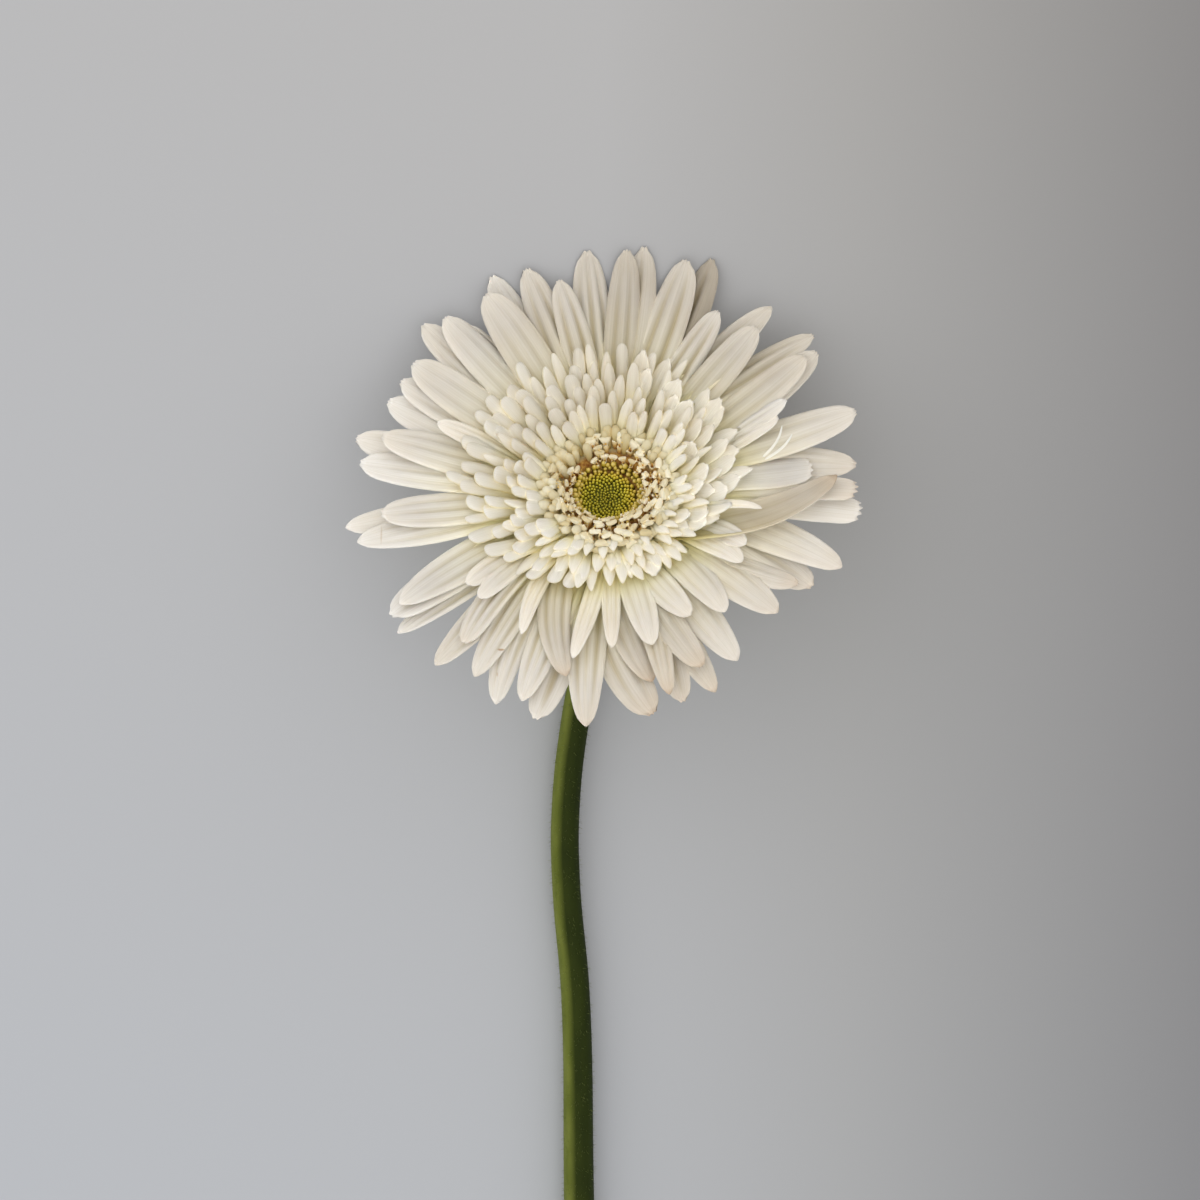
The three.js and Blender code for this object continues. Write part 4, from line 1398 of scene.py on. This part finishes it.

# %% [markdown]
# ## The finishes of the disc
# Cream lips and knobs, red-brown anthers, gold pollen, and olive buds whose tips are painted bright and
# whose feet are painted dark: painted highlights and painted shade.

# %% Disc finishes
CREAM_GLOW = (1.0, 0.8, 0.5)
CREAM_GLOW_DEPTH = 0.0008
# A low tone darkens lips and knobs: partly their own tone, partly painted shade on the knobs of the far
# side.
CREAM_TONE_AND_SHADE_STOPS = [(0, (0.74, 0.66, 0.48)), (0.3, (0.83, 0.775, 0.655)), (1, WHITE)]
BUD_TONES = [
    (0, (0.64, 0.68, 0.5)),
    (0.5, (0.9, 0.95, 0.7)),
    (0.97, (1.0, 0.9, 0.9)),
    (1, (1.0, 0.92, 1.6)),
]


def graded_paint(name, stops, tone_stops=None, glow=0.0):
    """A paint graded along the map's v, and across the copies by their tone."""
    paint = Paint(name, 0.6, 0.3)
    paint.coat(paint.ramp(paint.axis(paint.place["UV"], "Y"), stops))
    if tone_stops:
        paint.tint(paint.attribute("tone"), tone_stops)
    paint.glow(glow, CREAM_GLOW, CREAM_GLOW_DEPTH)
    return paint


lip_cream = graded_paint("lip_cream", [
    (0.0, (0.5, 0.2, 0.03)),
    (0.45, (0.78, 0.54, 0.19)),
    (0.7, (0.93, 0.83, 0.55)),
    (1.0, (0.95, 0.9, 0.72)),
], CREAM_TONE_AND_SHADE_STOPS, 0.6)
knob_cream = graded_paint("knob_cream", [
    (0.0, (0.72, 0.58, 0.24)),
    (0.5, (0.88, 0.8, 0.53)),
    (1.0, (0.92, 0.87, 0.69)),
], CREAM_TONE_AND_SHADE_STOPS, 0.6)
anther_brown = graded_paint("anther_brown", [
    (0.0, (0.12, 0.02, 0.003)),
    (0.7, (0.42, 0.15, 0.018)),
    (1.0, (0.66, 0.4, 0.1)),
])
thread_white = graded_paint("thread_white", [
    (0.0, (0.9, 0.88, 0.8)),
    (1.0, (0.95, 0.94, 0.9)),
], CREAM_TONE_AND_SHADE_STOPS, 0.5)
pollen_gold = graded_paint("pollen_gold", [(0.0, (0.7, 0.4, 0.05)), (1.0, (0.9, 0.66, 0.16))])
# Dark at the foot and bright at the tip: painted shade between the buds and painted highlights on their
# tips.
bud_green = graded_paint("bud_green", [
    (0.0, (0.1, 0.09, 0.006)),
    (0.5, (0.28, 0.225, 0.012)),
    (0.8, (0.58, 0.485, 0.034)),
    (1.0, (0.8, 0.68, 0.12)),
], BUD_TONES, 0.3)

# %% [markdown]
# The bed is green in its middle. Outwards it turns brown, then cream and then pale.

# %% Bed finish
SPECK_STOPS = [(0.38, (0.3, 0.1, 0.015)), (0.64, (0.66, 0.38, 0.08))]
bed = Paint("bed_brown", 0.8)
specks = bed.noise(bed.place["Object"], EVEN, 900, 3)
# Each colour fades in between two radii in metres.
BED_RINGS = [
    (0.0072, 0.0079, bed.ramp(specks, SPECK_STOPS)),
    (0.0102, 0.0114, (0.88, 0.76, 0.42, 1)),
    (0.0125, 0.015, (0.97, 0.9, 0.62, 1)),
]
bed.coat((0.2, 0.2, 0.02, 1))
away = bed.vector("DISTANCE", bed.place["Object"], FACE_MIDDLE * MM)["Value"]
for start, stop, color in BED_RINGS:
    bed.coat(bed.blend("MIX", bed.share(away, start, stop), bed.color, color))
bed.bump(specks, 0.4, 0.0003)

# %% [markdown]
# ## Greens
# The stem is a satin green, mottled and finely streaked along its length. The cup and its bracts
# are a greyer green. The stem's side towards the light keeps a paler, yellower green and the rest is
# painted much darker: painted light and painted shade.

# %% Green finishes
STREAKS = (900, 25, 900)
# Painted light and shade: the side towards the light keeps its green, the top and the far side are painted
# much darker.
PAINTED_LIGHT_FLANK_STOPS = [
    (0.0, WHITE),
    (0.2, (0.85, 0.85, 0.75)),
    (0.42, (0.15, 0.185, 0.05)),
    (1.0, (0.1, 0.135, 0.04)),
]


def green_paint(name, dark, light, stretch, scale):
    paint = Paint(name, 0.6, 0.12)
    mottle = paint.noise(paint.place["Object"], stretch, scale, 4)
    paint.coat(paint.ramp(mottle, [(0.35, dark), (0.65, light)]))
    paint.bump(paint.noise(paint.place["Object"], STREAKS, 1.0, 2), 0.2, 0.0002)
    return paint


stem_green = green_paint("stem_green", (0.13, 0.16, 0.025), (0.19, 0.22, 0.045), (1, 0.3, 1), 260)
stem_green.tint(stem_green.attribute("painted_light_flank"), PAINTED_LIGHT_FLANK_STOPS)
bract_green = green_paint("bract_green", (0.1, 0.16, 0.04), (0.18, 0.25, 0.07), EVEN, 400)
hair_pale = graded_paint("hair_pale", [(0.0, (0.1, 0.13, 0.02)), (1.0, (0.32, 0.37, 0.12))])


# %% [markdown]
# ## Dressing the pieces
# Each piece gets its finish, rides with the flower's one body, and takes the place
# of its solid.

# %% Dress
DRESS = [
    (long_petals, petal_white, "petal", "ray_florets"),
    (middle_petals, petal_white, "finger_petal", "trans_florets"),
    (fingers, finger_white, "finger_petal", "trans_florets"),
    (threads, thread_white, "finger_petal", "trans_florets"),
    (disc_lips, lip_cream, "disc_floret", "disc_florets"),
    (disc_knobs, knob_cream, "disc_floret", "disc_florets"),
    (anther_columns, anther_brown, "disc_floret", "disc_florets"),
    (pollen, pollen_gold, "disc_floret", "disc_florets"),
    (buds, bud_green, "disc_bud", "disc_centre"),
    (receptacle, bed, "disc_bud", "disc_centre"),
    (cup, bract_green, "bract", "involucre"),
    (bracts, bract_green, "bract", "involucre"),
    (stem, stem_green, "stem", "stem"),
    (stem_hairs, hair_pale, "stem", "stem"),
]
for thing, paint, slot, solid in DRESS:
    thing.data.materials.clear()
    thing.data.materials.append(paint.material)
    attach(thing, "root")
    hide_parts(solid)
    print(thing.name, "takes the place of", solid, "in", paint.material.name)

# %% [markdown]
# ## The studio
# A plain pale table, painted darker to the right as painted shade where the light falls off, one
# large soft light from the upper left of the picture, a weak one from the front that keeps the
# hollows between the florets bright, and a bright room.

# %% Table
TABLE_SIZE = 6
# Where the paper's painted shade and its tint start and stop to change, in metres.
PAPER_X = (-0.14, 0.14)
PAPER_Y = (-0.11, 0.25)
# Painted shade: the paper darkens to the right as the light would fall off, and is a little warmer towards
# the top.
FALLOFF_SHADE_STOPS = [
    (0, (0.545, 0.565, 0.615)),
    (0.5, (0.535, 0.55, 0.59)),
    (0.7, (0.455, 0.462, 0.483)),
    (1, (0.3, 0.302, 0.32)),
]
UP_STOPS = [(0, (0.97, 0.985, 1.0)), (1, (0.95, 0.925, 0.89))]
clear_selection()
bpy.ops.mesh.primitive_plane_add(size=TABLE_SIZE, location=(0, 0, 0))
table = bpy.context.object
table.name = "table"
paper = Paint("table_grey", 0.9, 0.1)
paper.coat(paper.ramp(paper.share(paper.axis(paper.place["Object"], "X"), *PAPER_X), FALLOFF_SHADE_STOPS))
paper.tint(paper.share(paper.axis(paper.place["Object"], "Y"), *PAPER_Y), UP_STOPS)
table.data.materials.append(paper.material)


# %% Lights
def soft_light(name, towards, distance, size, power, color):
    """A square light that looks at the bloom from the given direction."""
    light = bpy.data.lights.new(name, "AREA")
    light.size = size
    light.energy = power
    light.color = color
    thing = bpy.data.objects.new(name, light)
    bpy.context.scene.collection.objects.link(thing)
    middle = FACE_MIDDLE * MM
    thing.location = middle + Vector(towards).normalized() * distance
    thing.rotation_euler = (middle - thing.location).to_track_quat("-Z", "Y").to_euler()
    print("light", name, "is", distance, "m from the bloom")


soft_light("window", (-0.85, 0.5, 0.55), 1.1, 1.8, 3.3, WHITE)
soft_light("front_fill", (0.1, -0.12, 1.0), 1.15, 0.9, 1.8, (1, 0.995, 0.98))
world = bpy.data.worlds.new("room")
bpy.context.scene.world = world
world.use_nodes = True
room = world.node_tree.nodes["Background"].inputs
room["Color"].default_value = (1, 0.985, 0.945, 1)
room["Strength"].default_value = 0.77
bpy.context.scene.view_settings.view_transform = "Standard"
bpy.context.scene.view_settings.look = "None"
